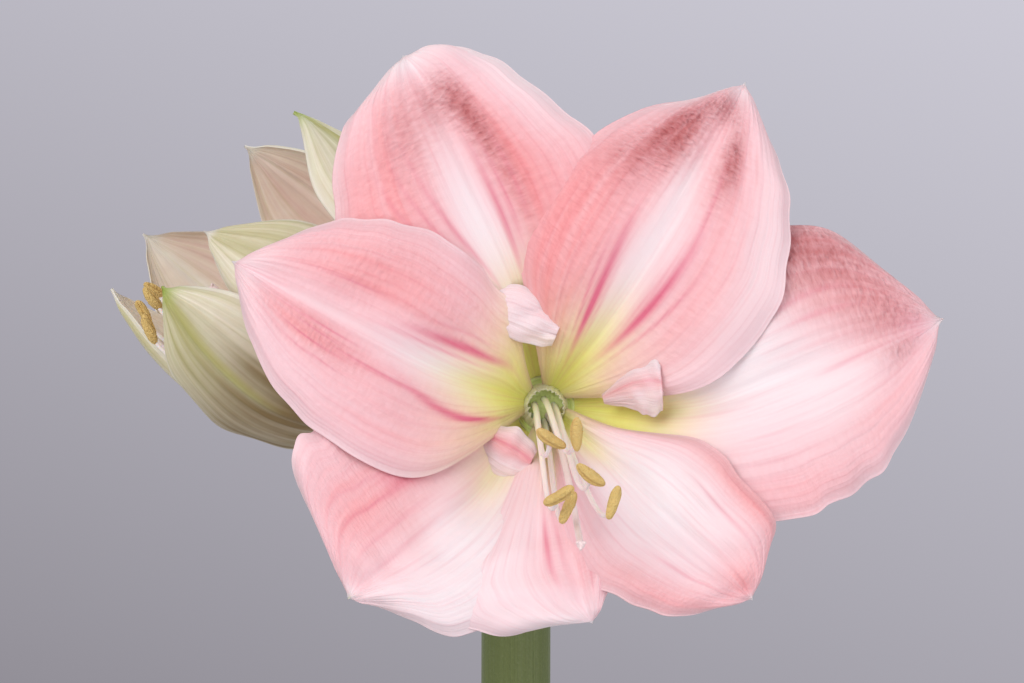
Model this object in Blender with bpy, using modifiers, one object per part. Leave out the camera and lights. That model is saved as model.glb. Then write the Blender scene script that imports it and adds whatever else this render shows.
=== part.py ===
"""Amaryllis in a vase: one cut amaryllis stem with two flowers, standing in a bottle vase that holds water.

Metres, +Z up. The origin is the centre of the vase's flat base, and the open flower faces -Y.
"""

import math

import bmesh
import bpy
import numpy as np
from mathutils import Matrix, Vector

GAP = 0.0003  # left between two pieces that touch

# Vase
VASE_HEIGHT = 0.230
FOOT_RADIUS = 0.045
FOOT_CHAMFER = 0.002
BELLY_RADIUS = 0.062
BELLY_HEIGHT = 0.085
NECK_DROP = 0.040  # from the lip down to where the neck is narrowest
LIP_FLARE = 0.006
VASE_WALL = 0.004
VASE_FLOOR = 0.012
WATER_DEPTH = 0.106

# Stem
STEM_RADIUS = 0.0107
STEM_LENGTH = 0.418
NECK_CLEARANCE = 0.0055  # all round the stem, where the neck is narrowest
BRACT_LENGTH = 0.038
BRACT_HALF_WIDTH = 0.007
BRACT_THICKNESS = 0.0008

# Both flowers
PEDICEL_RADIUS = 0.0038
OVARY_RADIUS = 0.0062
OVARY_LENGTH = 0.016
TUBE_WALL = 0.0008
TUBE_END_RADIUS = 0.0042
TUBE_MOUTH_RADIUS = 0.0092
TEPAL_THICKNESS = 0.0012
TEPAL_BASE_HALF_WIDTH = 0.0026
TEPAL_TIP_HALF_WIDTH = 0.0006
FILAMENT_RADIUS = 0.0006
STYLE_RADIUS = 0.0008
ANTHER_HALF_SIZES = (0.0048, 0.0016, 0.0015)
THROAT_CLEAR_RADIUS = 0.0075  # left free by the tepals' middle surfaces, at their bases
CORONA_TO_FILAMENTS = 0.0039
CORONA_WALL = 0.0004

# Open flower, in its own frame: +X right, +Y up, +Z out of the flower, and the throat's centre at the origin
OPEN_THROAT = Vector((0.008, -0.075, 0.025))  # from the top of the stem
OPEN_STALK_ROOT = Vector((0.0025, -0.0052, 0))
OPEN_TUBE_LENGTH = 0.025
TRUMPET_DEPTH = 0.046
THROAT_RADIUS = 0.008
TRUMPET_FLARE = 0.024  # distance in which the trumpet opens out
LEAN_UP = 0.17  # slopes of the face, which looks a little up and to the right
LEAN_RIGHT = 0.08
LAYER_AT_THROAT = 0.0010  # how far an outer or inner tepal lies from the middle layer, at its base
LAYER_STEP = 0.0032  # and farther out
LAYER_RAMP = 0.08  # share of the tepal's length in which the layers part
TIP_CURL = 0.004

# Each tepal of the open flower, in millimetres: its midrib, its half widths at 0.2, 0.4, 0.6 and 0.8 of its
# length, anticlockwise and then clockwise of the midrib, and its layer, outer -1 to inner +1.
OPEN_TEPALS = {
    "top_left": (
        ((-3, 9), (-8, 36), (-21, 66), (-33, 88), (-38, 96)), (20, 38, 34.5, 20), (26, 34.5, 26, 15.5), -1
    ),
    "top_right": (
        ((4, 8), (20, 28), (36, 53), (46, 72), (54, 88)), (28.5, 34, 29.5, 18), (30.5, 36, 28.5, 16.5), 1
    ),
    "right": (
        ((9, -1), (38, 1), (63, 9), (84, 17), (108, 25)), (18, 31, 38, 31), (27, 36, 35, 26), -1
    ),
    "low_right": (
        ((7, -6), (18, -16), (34, -31), (47, -43), (54, -50)), (9.5, 22, 20.5, 17.5), (17, 26, 22.5, 13.5), 1
    ),
    "bottom": (
        ((1, -9), (3, -24), (6, -37), (9, -48), (12, -55)), (10, 14, 14, 9), (14, 26, 34, 24), 0
    ),
    "low_left": (
        ((-6, -7), (-17, -22), (-32, -34), (-43, -42), (-51, -48)), (20, 27, 24.5, 12), (30, 40, 41, 36), -1
    ),
    "left": (
        ((-9, 2), (-29, 9), (-52, 21), (-70, 31), (-83, 39)), (27, 28.5, 23.5, 13), (28, 33, 29, 18), 1
    ),
}
# Each anther's centre and the direction of its length, in millimetres
OPEN_ANTHERS = (
    ((7.5, -6, 68), (0, 1, 0.2)),
    ((11, -16, 72), (-0.8, 0.6, 0.1)),
    ((16.5, -23, 75), (-0.3, -0.95, 0.1)),
    ((5, -24.5, 70.5), (-0.4, -0.9, 0.1)),
    ((2.5, -21, 77), (0.85, 0.5, 0.2)),
    ((1, -7, 65), (-0.8, 0.5, 0.2)),
)
OPEN_FILAMENT_DEPTH = 0.011  # of the filaments' roots, inside the throat
OPEN_FIRST_FILAMENT = 90  # angle round the throat
OPEN_FILAMENT_SAG = Vector((0, -0.030, 0))
OPEN_STYLE_END = Vector((0.008, -0.033, 0.085))
OPEN_STYLE_BOW = Vector((0.002, 0.003, 0))

# Half-open flower, in its own frame: +Z along the flower, +X towards the front, and its base at the origin
HALF_BASE = Vector((-0.003, 0.004, -0.001))  # from the top of the stem
HALF_STALK_ROOT = Vector((-0.0045, 0.0048, 0))
HALF_AXIS = Vector((-0.75, 0, 0.66)).normalized()
HALF_OVARY_START = 0.022
HALF_TUBE_LENGTH = 0.0085
# The cup's profile, in millimetres: radius and distance along the axis, from the tube to the tips
HALF_PROFILE = ((9.5, 47.5), (29, 54), (40, 67), (45, 84), (45.5, 105), (41, 126))
HALF_LAYER_STEP = 0.0018
# Each tepal: angle from the front, its tip's shift round the cup and along it in degrees and millimetres,
# its half widths as above, and its layer, outer +1 or inner -1
HALF_TEPALS = {
    "front": (-40, 10, -11, (19, 25, 25, 18), 1),
    "top": (62, 16, -3, (19, 25, 27, 24), 1),
    "back": (200, 5, 13, (19, 25, 26, 23), 1),
    "inner_front": (22, -24, -9, (15, 20, 20, 16), -1),
    "inner_back": (140, 2, 7, (15, 20, 23, 22), -1),
    "inner_bottom": (246, 0, 7, (15, 20, 20, 14), -1),
}
HALF_ANTHERS = (
    ((3, -26, 120), (0.5, -0.2, 1)),
    ((12, -28, 118), (0.3, 0.2, 1)),
    ((16, -36, 112), (0.1, 0.4, 1)),
    ((6, -36, 114), (-0.3, 0.5, 1)),
    ((-4, -35, 119), (0, 0.4, 1)),
    ((-8, -26, 115), (0.2, 0.3, 1)),
)
HALF_FILAMENT_DEPTH = 0.003
HALF_FIRST_FILAMENT = 120
HALF_FILAMENT_SAG = Vector((0, -0.012, 0))
HALF_STYLE_END = Vector((0.004, -0.014, 0.108))
HALF_STYLE_BOW = Vector((-0.0005, 0.0025, 0))

# Colours
GREEN = (0.12, 0.22, 0.06)
PALE_GREEN = (0.42, 0.52, 0.16)
PINK = (0.85, 0.42, 0.42)
BLUSH = (0.72, 0.52, 0.44)
CREAM = (0.85, 0.80, 0.66)
OCHRE = (0.62, 0.40, 0.10)
STRAW = (0.50, 0.40, 0.22)
GLAZE = (0.78, 0.77, 0.73)
WATER = (0.75, 0.83, 0.84)

# Worked out from the sizes above
CORONA_RADIUS = THROAT_CLEAR_RADIUS - TEPAL_THICKNESS / 2
FILAMENT_RING = CORONA_RADIUS - CORONA_TO_FILAMENTS
NECK_HEIGHT = VASE_HEIGHT - NECK_DROP
NECK_RADIUS = STEM_RADIUS + NECK_CLEARANCE + VASE_WALL
WATER_TOP = VASE_FLOOR + WATER_DEPTH
STEM_LEAN = math.atan((NECK_CLEARANCE - GAP) / (NECK_HEIGHT - VASE_FLOOR))
STEM_AXIS = Vector((0, -math.sin(STEM_LEAN), math.cos(STEM_LEAN)))
STEM_FOOT = Vector((0, 0, VASE_FLOOR + GAP + STEM_RADIUS * math.sin(STEM_LEAN)))
STEM_TOP = STEM_FOOT + STEM_LENGTH * STEM_AXIS
OPEN_AXIS = Vector((LEAN_RIGHT, LEAN_UP, 1)).normalized()

MM = 0.001
TURNED_STEPS = 36


def clear_scene():
    for thing in list(bpy.data.objects):
        bpy.data.objects.remove(thing, do_unlink=True)


def new_collection(name):
    collection = bpy.data.collections.new(name)
    bpy.context.scene.collection.children.link(collection)
    return collection


def new_empty(name, place):
    empty = bpy.data.objects.new(name, None)
    empty.matrix_world = place
    PLANT.objects.link(empty)
    return empty


def finish_object(name, data, colour, roughness, parent=None, collection=None):
    """The object for this mesh or curve, in its collection, with a material of its own."""
    material = bpy.data.materials.new(name)
    material.use_nodes = True
    shader = material.node_tree.nodes["Principled BSDF"]
    shader.inputs["Base Color"].default_value = (*colour, 1)
    shader.inputs["Roughness"].default_value = roughness
    shader.inputs["Metallic"].default_value = 0
    data.materials.append(material)
    thing = bpy.data.objects.new(name, data)
    thing.parent = parent
    (collection or PLANT).objects.link(thing)
    return thing


def spline(points, at):
    """Points of a smooth curve through these points, evenly shared out over `at` from 0 to 1."""
    points = np.asarray(points, float)
    before, after = 2 * points[0] - points[1], 2 * points[-1] - points[-2]
    points = np.concatenate([[before], points, [after]])
    spans = len(points) - 3
    place = np.clip(at, 0, 1) * spans
    first = np.minimum(place.astype(int), spans - 1)
    f = (place - first).reshape(-1, *[1] * (points.ndim - 1))
    a, b, c, d = (points[first + i] for i in range(4))
    return (
        b + (c - a) * f / 2 + (a - 2.5 * b + 2 * c - d / 2) * f**2 + (1.5 * (b - c) + (d - a) / 2) * f**3
    )


def bezier(start, start_handle, end_handle, end, count):
    """Points of a cubic curve."""
    points = []
    for i in range(count):
        f = i / (count - 1)
        points.append(
            start * (1 - f) ** 3
            + start_handle * 3 * f * (1 - f) ** 2
            + end_handle * 3 * f**2 * (1 - f)
            + end * f**3
        )
    return points


def sheet(name, surface, cells, thickness, colour, roughness, parent):
    """A thin leaf of plant: a grid bent onto surface(along 0 to 1, across -1 to 1) and thickened."""
    mesh = bpy.data.meshes.new(name)
    build = bmesh.new()
    bmesh.ops.create_grid(build, x_segments=cells[0], y_segments=cells[1], size=0.5)
    flat = np.array([vertex.co for vertex in build.verts])
    bent = surface(flat[:, 0] + 0.5, 2 * flat[:, 1])
    for vertex, place in zip(build.verts, bent):
        vertex.co = place
    build.to_mesh(mesh)
    build.free()
    mesh.shade_smooth()
    thing = finish_object(name, mesh, colour, roughness, parent)
    solidify = thing.modifiers.new("Thickness", "SOLIDIFY")
    solidify.thickness = thickness
    solidify.offset = 0
    return thing


def rod(name, points, radii, colour, roughness, parent=None, resolution=2):
    """A round rod along these points, with a radius at each."""
    curve = bpy.data.curves.new(name, "CURVE")
    curve.dimensions = "3D"
    curve.bevel_depth = max(radii)
    curve.bevel_resolution = resolution
    curve.use_fill_caps = True
    line = curve.splines.new("POLY")
    line.points.add(len(points) - 1)
    for point, place, radius in zip(line.points, points, radii):
        point.co = (*place, 1)
        point.radius = radius / curve.bevel_depth
    return finish_object(name, curve, colour, roughness, parent)


def turned(name, profile, steps, colour, roughness, parent=None, collection=None):
    """A body turned about Z from (radius, height) points that run down its outer side."""
    mesh = bpy.data.meshes.new(name)
    edges = [(i, i + 1) for i in range(len(profile) - 1)]
    mesh.from_pydata([(radius, 0, height) for radius, height in profile], edges, [])
    thing = finish_object(name, mesh, colour, roughness, parent, collection)
    screw = thing.modifiers.new("Turn", "SCREW")
    screw.steps = screw.render_steps = steps
    screw.use_merge_vertices = True
    screw.merge_threshold = 0.0001
    screw.use_smooth_shade = True
    return thing


def vase_radius(height):
    """Outer radius of the vase: foot to belly, belly to neck, neck to lip."""
    if height < BELLY_HEIGHT:
        rise = math.sin(math.pi / 2 * height / BELLY_HEIGHT)
        return FOOT_RADIUS + (BELLY_RADIUS - FOOT_RADIUS) * rise
    if height < NECK_HEIGHT:
        fall = (1 + math.cos(math.pi * (height - BELLY_HEIGHT) / (NECK_HEIGHT - BELLY_HEIGHT))) / 2
        return NECK_RADIUS + (BELLY_RADIUS - NECK_RADIUS) * fall
    return NECK_RADIUS + LIP_FLARE * ((height - NECK_HEIGHT) / NECK_DROP) ** 2


def vase_bore(height, depth=VASE_WALL):
    """Radius at this depth inside the vase's outer side."""
    step = 0.0005
    slope = (vase_radius(height + step) - vase_radius(height - step)) / (2 * step)
    return vase_radius(height) - depth * math.hypot(1, slope)


def heights(low, high, spacing=0.0115):
    return np.linspace(low, high, max(2, round((high - low) / spacing) + 1))


def make_vase():
    rim = VASE_HEIGHT - VASE_WALL / 2
    inner = [(vase_bore(z), z) for z in heights(VASE_FLOOR, rim)]
    lip_middle = vase_radius(rim) - VASE_WALL / 2
    outer = [(vase_radius(z), z) for z in heights(FOOT_CHAMFER, rim)[::-1]]
    foot = [(FOOT_RADIUS - FOOT_CHAMFER, 0), (0, 0)]
    profile = [(0, VASE_FLOOR), *inner, (lip_middle, VASE_HEIGHT), *outer, *foot]
    turned("vase", profile, TURNED_STEPS, GLAZE, 0.25)


def make_water():
    side = [(vase_bore(z, VASE_WALL + GAP), z) for z in heights(VASE_FLOOR + GAP, WATER_TOP)[::-1]]
    profile = [(0, WATER_TOP), *side, (0, VASE_FLOOR + GAP)]
    water = turned("water", profile, TURNED_STEPS, WATER, 0.05)
    build = bmesh.new()
    bmesh.ops.create_cone(
        build,
        cap_ends=True,
        segments=32,
        radius1=STEM_RADIUS + 2 * GAP,
        radius2=STEM_RADIUS + 2 * GAP,
        depth=2 * STEM_LENGTH,
    )
    mesh = bpy.data.meshes.new("stem_hole")
    build.to_mesh(mesh)
    build.free()
    cutter = finish_object("stem_hole", mesh, WATER, 0.5, None, CUTTERS)
    cutter.matrix_world = Matrix.Translation(STEM_FOOT) @ STEM_AXIS.to_track_quat("Z", "X").to_matrix().to_4x4()
    cutter.hide_render = True
    cutter.display_type = "WIRE"
    hole = water.modifiers.new("Stem hole", "BOOLEAN")
    hole.operation = "DIFFERENCE"
    hole.object = cutter


def make_stem():
    points = [STEM_FOOT.lerp(STEM_TOP, f) for f in np.linspace(0, 1, 7)]
    rod("stem", points, [STEM_RADIUS] * 7, GREEN, 0.45, resolution=4)


def make_bracts(umbel):
    """The two withered bracts that once wrapped the buds, hanging down either side of the stem."""
    out = STEM_RADIUS + BRACT_THICKNESS + 2 * GAP

    def bract(side):
        def surface(along, across):
            half_width = BRACT_HALF_WIDTH * np.sqrt(1.02 - along**3)
            turn = across * half_width / out
            stand = out + 0.006 * np.sin(np.pi * along) ** 2 * along
            down = BRACT_LENGTH * along
            return np.stack([side * stand * np.cos(turn), stand * np.sin(turn), -down], 1)

        return surface

    for name, side in (("bract_left", -1), ("bract_right", 1)):
        sheet(name, bract(side), (8, 4), BRACT_THICKNESS, STRAW, 0.8, umbel)


def tepal_half_width(widths, along):
    """Half width of a tepal, from its half widths in millimetres at fifths of its length."""
    stations = (TEPAL_BASE_HALF_WIDTH, *np.multiply(widths, MM), TEPAL_TIP_HALF_WIDTH)
    return spline(stations, along)


def face_height(x, y):
    """How far the open flower's face stands out, at a place across it."""
    beyond = np.hypot(x, y) - THROAT_RADIUS
    return TRUMPET_DEPTH * (1 - np.exp(-beyond / TRUMPET_FLARE)) - LEAN_UP * y - LEAN_RIGHT * x


def face_normal(x, y):
    radius = np.hypot(x, y)
    slope = TRUMPET_DEPTH / TRUMPET_FLARE * np.exp(-(radius - THROAT_RADIUS) / TRUMPET_FLARE) / radius
    normal = np.stack([LEAN_RIGHT - slope * x, LEAN_UP - slope * y, np.ones_like(x)], 1)
    return normal / np.linalg.norm(normal, axis=1, keepdims=True)


def open_tepal(midrib, left_widths, right_widths, layer):
    """The surface of one tepal of the open flower."""

    def surface(along, across):
        rib = spline(np.multiply(midrib, MM), along)
        step = 0.001
        ahead = spline(np.multiply(midrib, MM), along + step) - spline(np.multiply(midrib, MM), along - step)
        ahead /= np.linalg.norm(ahead, axis=1, keepdims=True)
        left = np.stack([-ahead[:, 1], ahead[:, 0]], 1)
        half_width = np.where(
            across > 0, tepal_half_width(left_widths, along), tepal_half_width(right_widths, along)
        )
        x, y = (rib + (across * half_width)[:, None] * left).T
        parted = 1 - np.exp(-along / LAYER_RAMP)
        lift = layer * (LAYER_AT_THROAT + (LAYER_STEP - LAYER_AT_THROAT) * parted)
        curl = TIP_CURL * np.clip((along - 0.7) / 0.3, 0, 1) ** 2
        face = np.stack([x, y, face_height(x, y)], 1)
        return face + (lift - curl)[:, None] * face_normal(x, y)

    return surface


def make_stalk(name, start, end, axis, umbel):
    """A flower's stalk, from the stem's top to `end`, and the ovary that swells beyond it along `axis`."""
    bend = 0.4 * (end - start).length
    upright = start + PEDICEL_RADIUS * STEM_AXIS
    points = [start, *bezier(upright, upright + bend * STEM_AXIS, end - bend * axis, end, 9)]
    radii = [PEDICEL_RADIUS] * 10
    for f in (0.15, 0.35, 0.6, 0.85, 1.0):
        points.append(end + f * OVARY_LENGTH * axis)
        radii.append(PEDICEL_RADIUS + (OVARY_RADIUS - PEDICEL_RADIUS) * math.sin(math.pi * min(f, 0.9)) ** 0.7)
    rod(name, points, radii, GREEN, 0.45, umbel, resolution=3)


def make_tube(name, length, parent, place):
    """The short tube that the tepals grow from, closed behind and open at its mouth, which is at place."""

    def radius(f):
        return TUBE_END_RADIUS + (TUBE_MOUTH_RADIUS - TUBE_END_RADIUS) * f**1.5

    shares = np.linspace(0, 1, 5)
    outer = [(radius(f), (f - 1) * length) for f in shares[::-1]]
    inner = [(radius(f) - TUBE_WALL, (f - 1) * length) for f in shares]
    floor = 2 * TUBE_WALL - length
    inner[0] = (radius(0) - TUBE_WALL, floor)
    profile = [(0, floor), *inner, *outer, (0, -length)]
    tube = turned(name, profile, 20, PALE_GREEN, 0.45, parent)
    tube.matrix_basis = place


def make_corona(name, parent, place):
    """The small fringe in the throat."""
    low, high, flare = -0.0015, 0.0022, 0.0003
    profile = [
        (CORONA_RADIUS - CORONA_WALL, low),
        (CORONA_RADIUS - CORONA_WALL + flare, high),
        (CORONA_RADIUS + flare, high),
        (CORONA_RADIUS, low),
        (CORONA_RADIUS - CORONA_WALL, low),
    ]
    corona = turned(name, profile, 20, CREAM, 0.5, parent)
    corona.matrix_basis = place


def make_filament_and_anther(number, prefix, root, axis, sag, centre, length_way, parent):
    """A filament that leaves `root` along `axis` and sags by about `sag`, and the anther on its end."""
    length_way = length_way.normalized()
    come = (centre - root - sag).normalized()
    side = length_way.cross(come).normalized()
    along, across = come.dot(length_way), come.dot(length_way.cross(side))
    long_half, wide_half, _ = ANTHER_HALF_SIZES
    reach = 1 / math.hypot(along / long_half, across / wide_half) + 2 * GAP + FILAMENT_RADIUS / 2
    end = centre - reach * come
    third = (end - root).length / 3
    points = bezier(root, root + third * axis, end - 1.4 * third * come, end, 9)
    radii = [FILAMENT_RADIUS * (1.15 - 0.4 * i / 8) for i in range(9)]
    rod(f"{prefix}_filament_{number}", points, radii, CREAM, 0.4, parent)
    name = f"{prefix}_anther_{number}"
    mesh = bpy.data.meshes.new(name)
    build = bmesh.new()
    bmesh.ops.create_uvsphere(build, u_segments=10, v_segments=7, radius=1)
    bmesh.ops.scale(build, vec=ANTHER_HALF_SIZES, verts=build.verts)
    build.to_mesh(mesh)
    build.free()
    mesh.shade_smooth()
    anther = finish_object(name, mesh, OCHRE, 0.8, parent)
    anther.matrix_basis = Matrix.Translation(centre) @ length_way.to_track_quat("X", "Z").to_matrix().to_4x4()


def make_stamens(prefix, anthers, first_angle, depth, sag, axis, place, parent):
    """Stamens from a ring round the axis, `depth` behind the tube's mouth, clockwise from the first."""
    for number, (centre, length_way) in enumerate(anthers, 1):
        angle = math.radians(first_angle - (number - 1) * 360 / len(anthers))
        root = place @ Vector((FILAMENT_RING * math.cos(angle), FILAMENT_RING * math.sin(angle), -depth))
        centre = Vector(centre) * MM
        make_filament_and_anther(number, prefix, root, axis, sag, centre, Vector(length_way), parent)


def make_style(name, root, axis, bow, end, parent):
    """The style, from the ovary out past the anthers, with the stigma on its end."""
    third = (end - root).length / 3
    points = bezier(root, root + third * axis + bow, end - third * Vector((0, 0, 1)), end, 13)
    radii = [STYLE_RADIUS] * 11 + [1.6 * STYLE_RADIUS] * 2
    rod(name, points, radii, CREAM, 0.4, parent)


def make_open_flower(umbel):
    to_front = Matrix.Rotation(math.pi / 2, 4, "X")
    flower = new_empty("open_flower", Matrix.Translation(STEM_TOP + OPEN_THROAT) @ to_front)
    for name, (midrib, left_widths, right_widths, layer) in OPEN_TEPALS.items():
        surface = open_tepal(midrib, left_widths, right_widths, layer)
        sheet(f"open_tepal_{name}", surface, (13, 8), TEPAL_THICKNESS, PINK, 0.45, flower)
    place = Vector((0, 0, 1)).rotation_difference(OPEN_AXIS).to_matrix().to_4x4()
    make_tube("open_tube", OPEN_TUBE_LENGTH, flower, place)
    make_corona("open_corona", flower, place)
    ring = (OPEN_FIRST_FILAMENT, OPEN_FILAMENT_DEPTH, OPEN_FILAMENT_SAG)
    make_stamens("open", OPEN_ANTHERS, *ring, OPEN_AXIS, place, flower)
    root = place @ Vector((0, 0, 3 * TUBE_WALL - OPEN_TUBE_LENGTH))
    make_style("open_style", root, OPEN_AXIS, OPEN_STYLE_BOW, OPEN_STYLE_END, flower)
    out = to_front.to_3x3() @ OPEN_AXIS
    ovary_start = OPEN_THROAT - (OPEN_TUBE_LENGTH + GAP + OVARY_LENGTH) * out
    make_stalk("open_stalk", OPEN_STALK_ROOT + GAP * STEM_AXIS, ovary_start, out, umbel)


def half_open_tepal(turn, shift_round, shift_along, widths, layer):
    """The surface of one tepal of the half-open flower."""

    def surface(along, across):
        profile = np.multiply(HALF_PROFILE, MM)
        radius, height = spline(profile, along).T
        step = 0.001
        run = spline(profile, along + step) - spline(profile, along - step)
        run /= np.linalg.norm(run, axis=1, keepdims=True)
        angle = np.radians(turn + shift_round * along**2)
        angle = angle + across * tepal_half_width(widths, along) / radius
        radius = radius + layer * HALF_LAYER_STEP * run[:, 1]
        height = height - layer * HALF_LAYER_STEP * run[:, 0] + shift_along * MM * along**2
        return np.stack([radius * np.cos(angle), radius * np.sin(angle), height], 1)

    return surface


def make_half_open_flower(umbel):
    front = Vector((0, -1, 0))
    frame = Matrix((front, HALF_AXIS.cross(front), HALF_AXIS)).transposed().to_4x4()
    flower = new_empty("half_open_flower", Matrix.Translation(STEM_TOP + HALF_BASE) @ frame)
    for name, (turn, shift_round, shift_along, widths, layer) in HALF_TEPALS.items():
        surface = half_open_tepal(turn, shift_round, shift_along, widths, layer)
        sheet(f"half_open_tepal_{name}", surface, (11, 6), TEPAL_THICKNESS, BLUSH, 0.5, flower)
    tube_back = HALF_OVARY_START + OVARY_LENGTH + GAP
    place = Matrix.Translation((0, 0, tube_back + HALF_TUBE_LENGTH))
    outward = Vector((0, 0, 1))
    make_tube("half_open_tube", HALF_TUBE_LENGTH, flower, place)
    ring = (HALF_FIRST_FILAMENT, HALF_FILAMENT_DEPTH, HALF_FILAMENT_SAG)
    make_stamens("half_open", HALF_ANTHERS, *ring, outward, place, flower)
    root = Vector((0, 0, tube_back + 3 * TUBE_WALL))
    make_style("half_open_style", root, outward, HALF_STYLE_BOW, HALF_STYLE_END, flower)
    ovary_start = HALF_BASE + HALF_OVARY_START * HALF_AXIS
    make_stalk("half_open_stalk", HALF_STALK_ROOT + GAP * STEM_AXIS, ovary_start, HALF_AXIS, umbel)


clear_scene()
PLANT = new_collection("amaryllis_in_a_vase")
CUTTERS = new_collection("cutters")
make_vase()
make_water()
make_stem()
top = new_empty("umbel", Matrix.Translation(STEM_TOP))
make_bracts(top)
make_open_flower(top)
make_half_open_flower(top)
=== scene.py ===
"""Amaryllis in a vase: the finished surfaces of one cut stem with an open and a half-open flower, in a bottle vase.

Metres, +Z up, and the open flower faces -Y. Each piece is a surface worked out on a grid, in the CAD model's frame.
"""

import math

import bpy
import numpy as np
from bpy.props import FloatProperty, FloatVectorProperty, PointerProperty
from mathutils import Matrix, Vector


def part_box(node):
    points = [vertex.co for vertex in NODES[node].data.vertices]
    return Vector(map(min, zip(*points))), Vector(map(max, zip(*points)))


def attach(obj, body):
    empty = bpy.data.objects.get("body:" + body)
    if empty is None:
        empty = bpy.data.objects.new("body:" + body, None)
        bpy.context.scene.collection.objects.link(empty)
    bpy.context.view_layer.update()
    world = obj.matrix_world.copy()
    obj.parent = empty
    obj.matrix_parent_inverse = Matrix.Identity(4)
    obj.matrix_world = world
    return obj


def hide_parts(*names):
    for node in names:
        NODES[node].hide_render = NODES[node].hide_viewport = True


bl_info = {
    "name": "Amaryllis in a vase",
    "version": (1, 0, 0),
    "blender": (4, 5, 0),
    "location": "3D View > Sidebar > Amaryllis",
    "description": "Builds the petals, stamens, stem, vase and stage of a cut amaryllis",
    "category": "Object",
}

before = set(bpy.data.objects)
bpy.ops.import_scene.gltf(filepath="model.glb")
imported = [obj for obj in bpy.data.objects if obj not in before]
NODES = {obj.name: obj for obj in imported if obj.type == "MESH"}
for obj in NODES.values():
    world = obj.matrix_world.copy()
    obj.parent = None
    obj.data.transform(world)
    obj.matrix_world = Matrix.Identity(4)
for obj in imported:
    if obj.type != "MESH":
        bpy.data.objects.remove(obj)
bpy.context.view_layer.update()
MM = 0.001

# The flowers' places and sizes, as the solids have them
OPEN_THROAT = (0.008, -0.075, 0.025)  # from the top of the stem
OPEN_STALK_ROOT = (0.0025, -0.0052, 0)
OPEN_TUBE_LENGTH = 0.025
TRUMPET_DEPTH = 0.046
THROAT_RADIUS = 0.008
TRUMPET_FLARE = 0.024
LEAN_UP = 0.17
LEAN_RIGHT = 0.08
LAYER_AT_THROAT = 0.0010
LAYER_STEP = 0.0032
LAYER_RAMP = 0.08
TIP_CURL = 0.004
TEPAL_BASE_HALF_WIDTH = 0.0034
THROAT_FLOOR = -0.0030  # where a tube is closed by its stamens' joined feet
THROAT_REACH = 0.5  # of a midrib's start, so that the tepals line the tube's mouth
TEPAL_TIP_HALF_WIDTH = 0.0006
HALF_BASE = (-0.003, 0.004, -0.001)
HALF_STALK_ROOT = (-0.0045, 0.0048, 0)
HALF_AXIS = np.array((-0.75, 0, 0.66)) / math.hypot(0.75, 0.66)
HALF_OVARY_START = 0.022
HALF_TUBE_LENGTH = 0.0085
HALF_PROFILE = ((9.5, 47.5), (29, 54), (40, 67), (45, 84), (45.5, 105), (41, 126))
HALF_LAYER_STEP = 0.0018
OVARY_LENGTH = 0.016
OVARY_RADIUS = 0.0062
PEDICEL_RADIUS = 0.0038
TUBE_END_RADIUS = 0.0042
TUBE_MOUTH_RADIUS = 0.0087
TUBE_RIM_DEPTH = 0.0016  # of a tube's rim below the throat, behind the tepals
TUBE_WALL = 0.0008
FILAMENT_RING = 0.0030
FILAMENT_RADIUS = 0.0008
STYLE_RADIUS = 0.0009
CORONA_RADIUS = 0.0069
GAP = 0.0003
OUT = np.array((0.0, 0.0, 1.0))  # the way that a flower opens, in its own frame

# Sizes that only the finished surfaces have
ANTHER_HALF_LENGTH = 0.0045
ANTHER_HALF_THICKNESS = 0.0016
ANTHER_BOW = 0.0007
FILAMENT_STOP = 0.0010  # of a filament's end from its anther's middle
FRINGE_FOOT = -0.0040
FRINGE_TOP = 0.0019
FRINGE_WALL = 0.00045
LOBE_RADIUS = 0.00042
HALF_MARGIN_THICKNESS = 0.0004
BRACT_THICKNESS = 0.0005
BRACT_LENGTH = 0.038
BRACT_HALF_WIDTH = 0.007
BRACT_STAND_OFF = 0.0014
STEM_EDGE_ROUND = 0.0008
STALK_CURVE_POINTS = 60
# Painted shade: the tint that darkens the creases between the wrinkles.
CREASE_SHADE_TINT = (0.74, 0.50, 0.50)
FLOOR_RADIUS = 1.9
FLOOR_DEPTH = 0.0002
CAMERA_FROM_THROAT = (-0.0092, -0.796, 0.0178)
CAMERA_LENS, CAMERA_SENSOR = 100, 36

# The vase's sizes, as its solid has them
VASE_FOOT_RADIUS = 0.045
VASE_BELLY_HEIGHT = 0.085
VASE_NECK_DROP = 0.040  # from the lip down to the neck's narrowest place
VASE_NECK_CLEARANCE = 0.0055
VASE_FLARE = 0.006
VASE_WALL = 0.004
VASE_FLOOR = 0.012
VASE_FOOT_PROFILE = (
    (0.0443, 0.0008),
    (0.043, 0.0),
    (0.0385, 0.0),
    (0.0375, 0.0006),
    (0.0365, 0.0016),
    (0.030, 0.0018),
    (0.015, 0.0018),
    (0, 0.0018),
)

# The grids that the surfaces are worked out on, as steps along and steps across or round
OPEN_TEPAL_GRID = (236, 124)
CURLED_LOBE_GRID = (80, 54)
HALF_TEPAL_GRID = (150, 90)
BRACT_GRID = (110, 60)
FILAMENT_GRID = (60, 16)
ANTHER_GRID = (44, 40)
TUBE_GRID = (30, 72)
FRINGE_GRID = (22, 300)
STYLE_GRID = (70, 18)
LOBE_GRID = (18, 14)
STEM_GRID = (240, 96)
STALK_SIDES = 48
VASE_GRID = (190, 192)
FLOOR_GRID = (12, 96)

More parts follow.
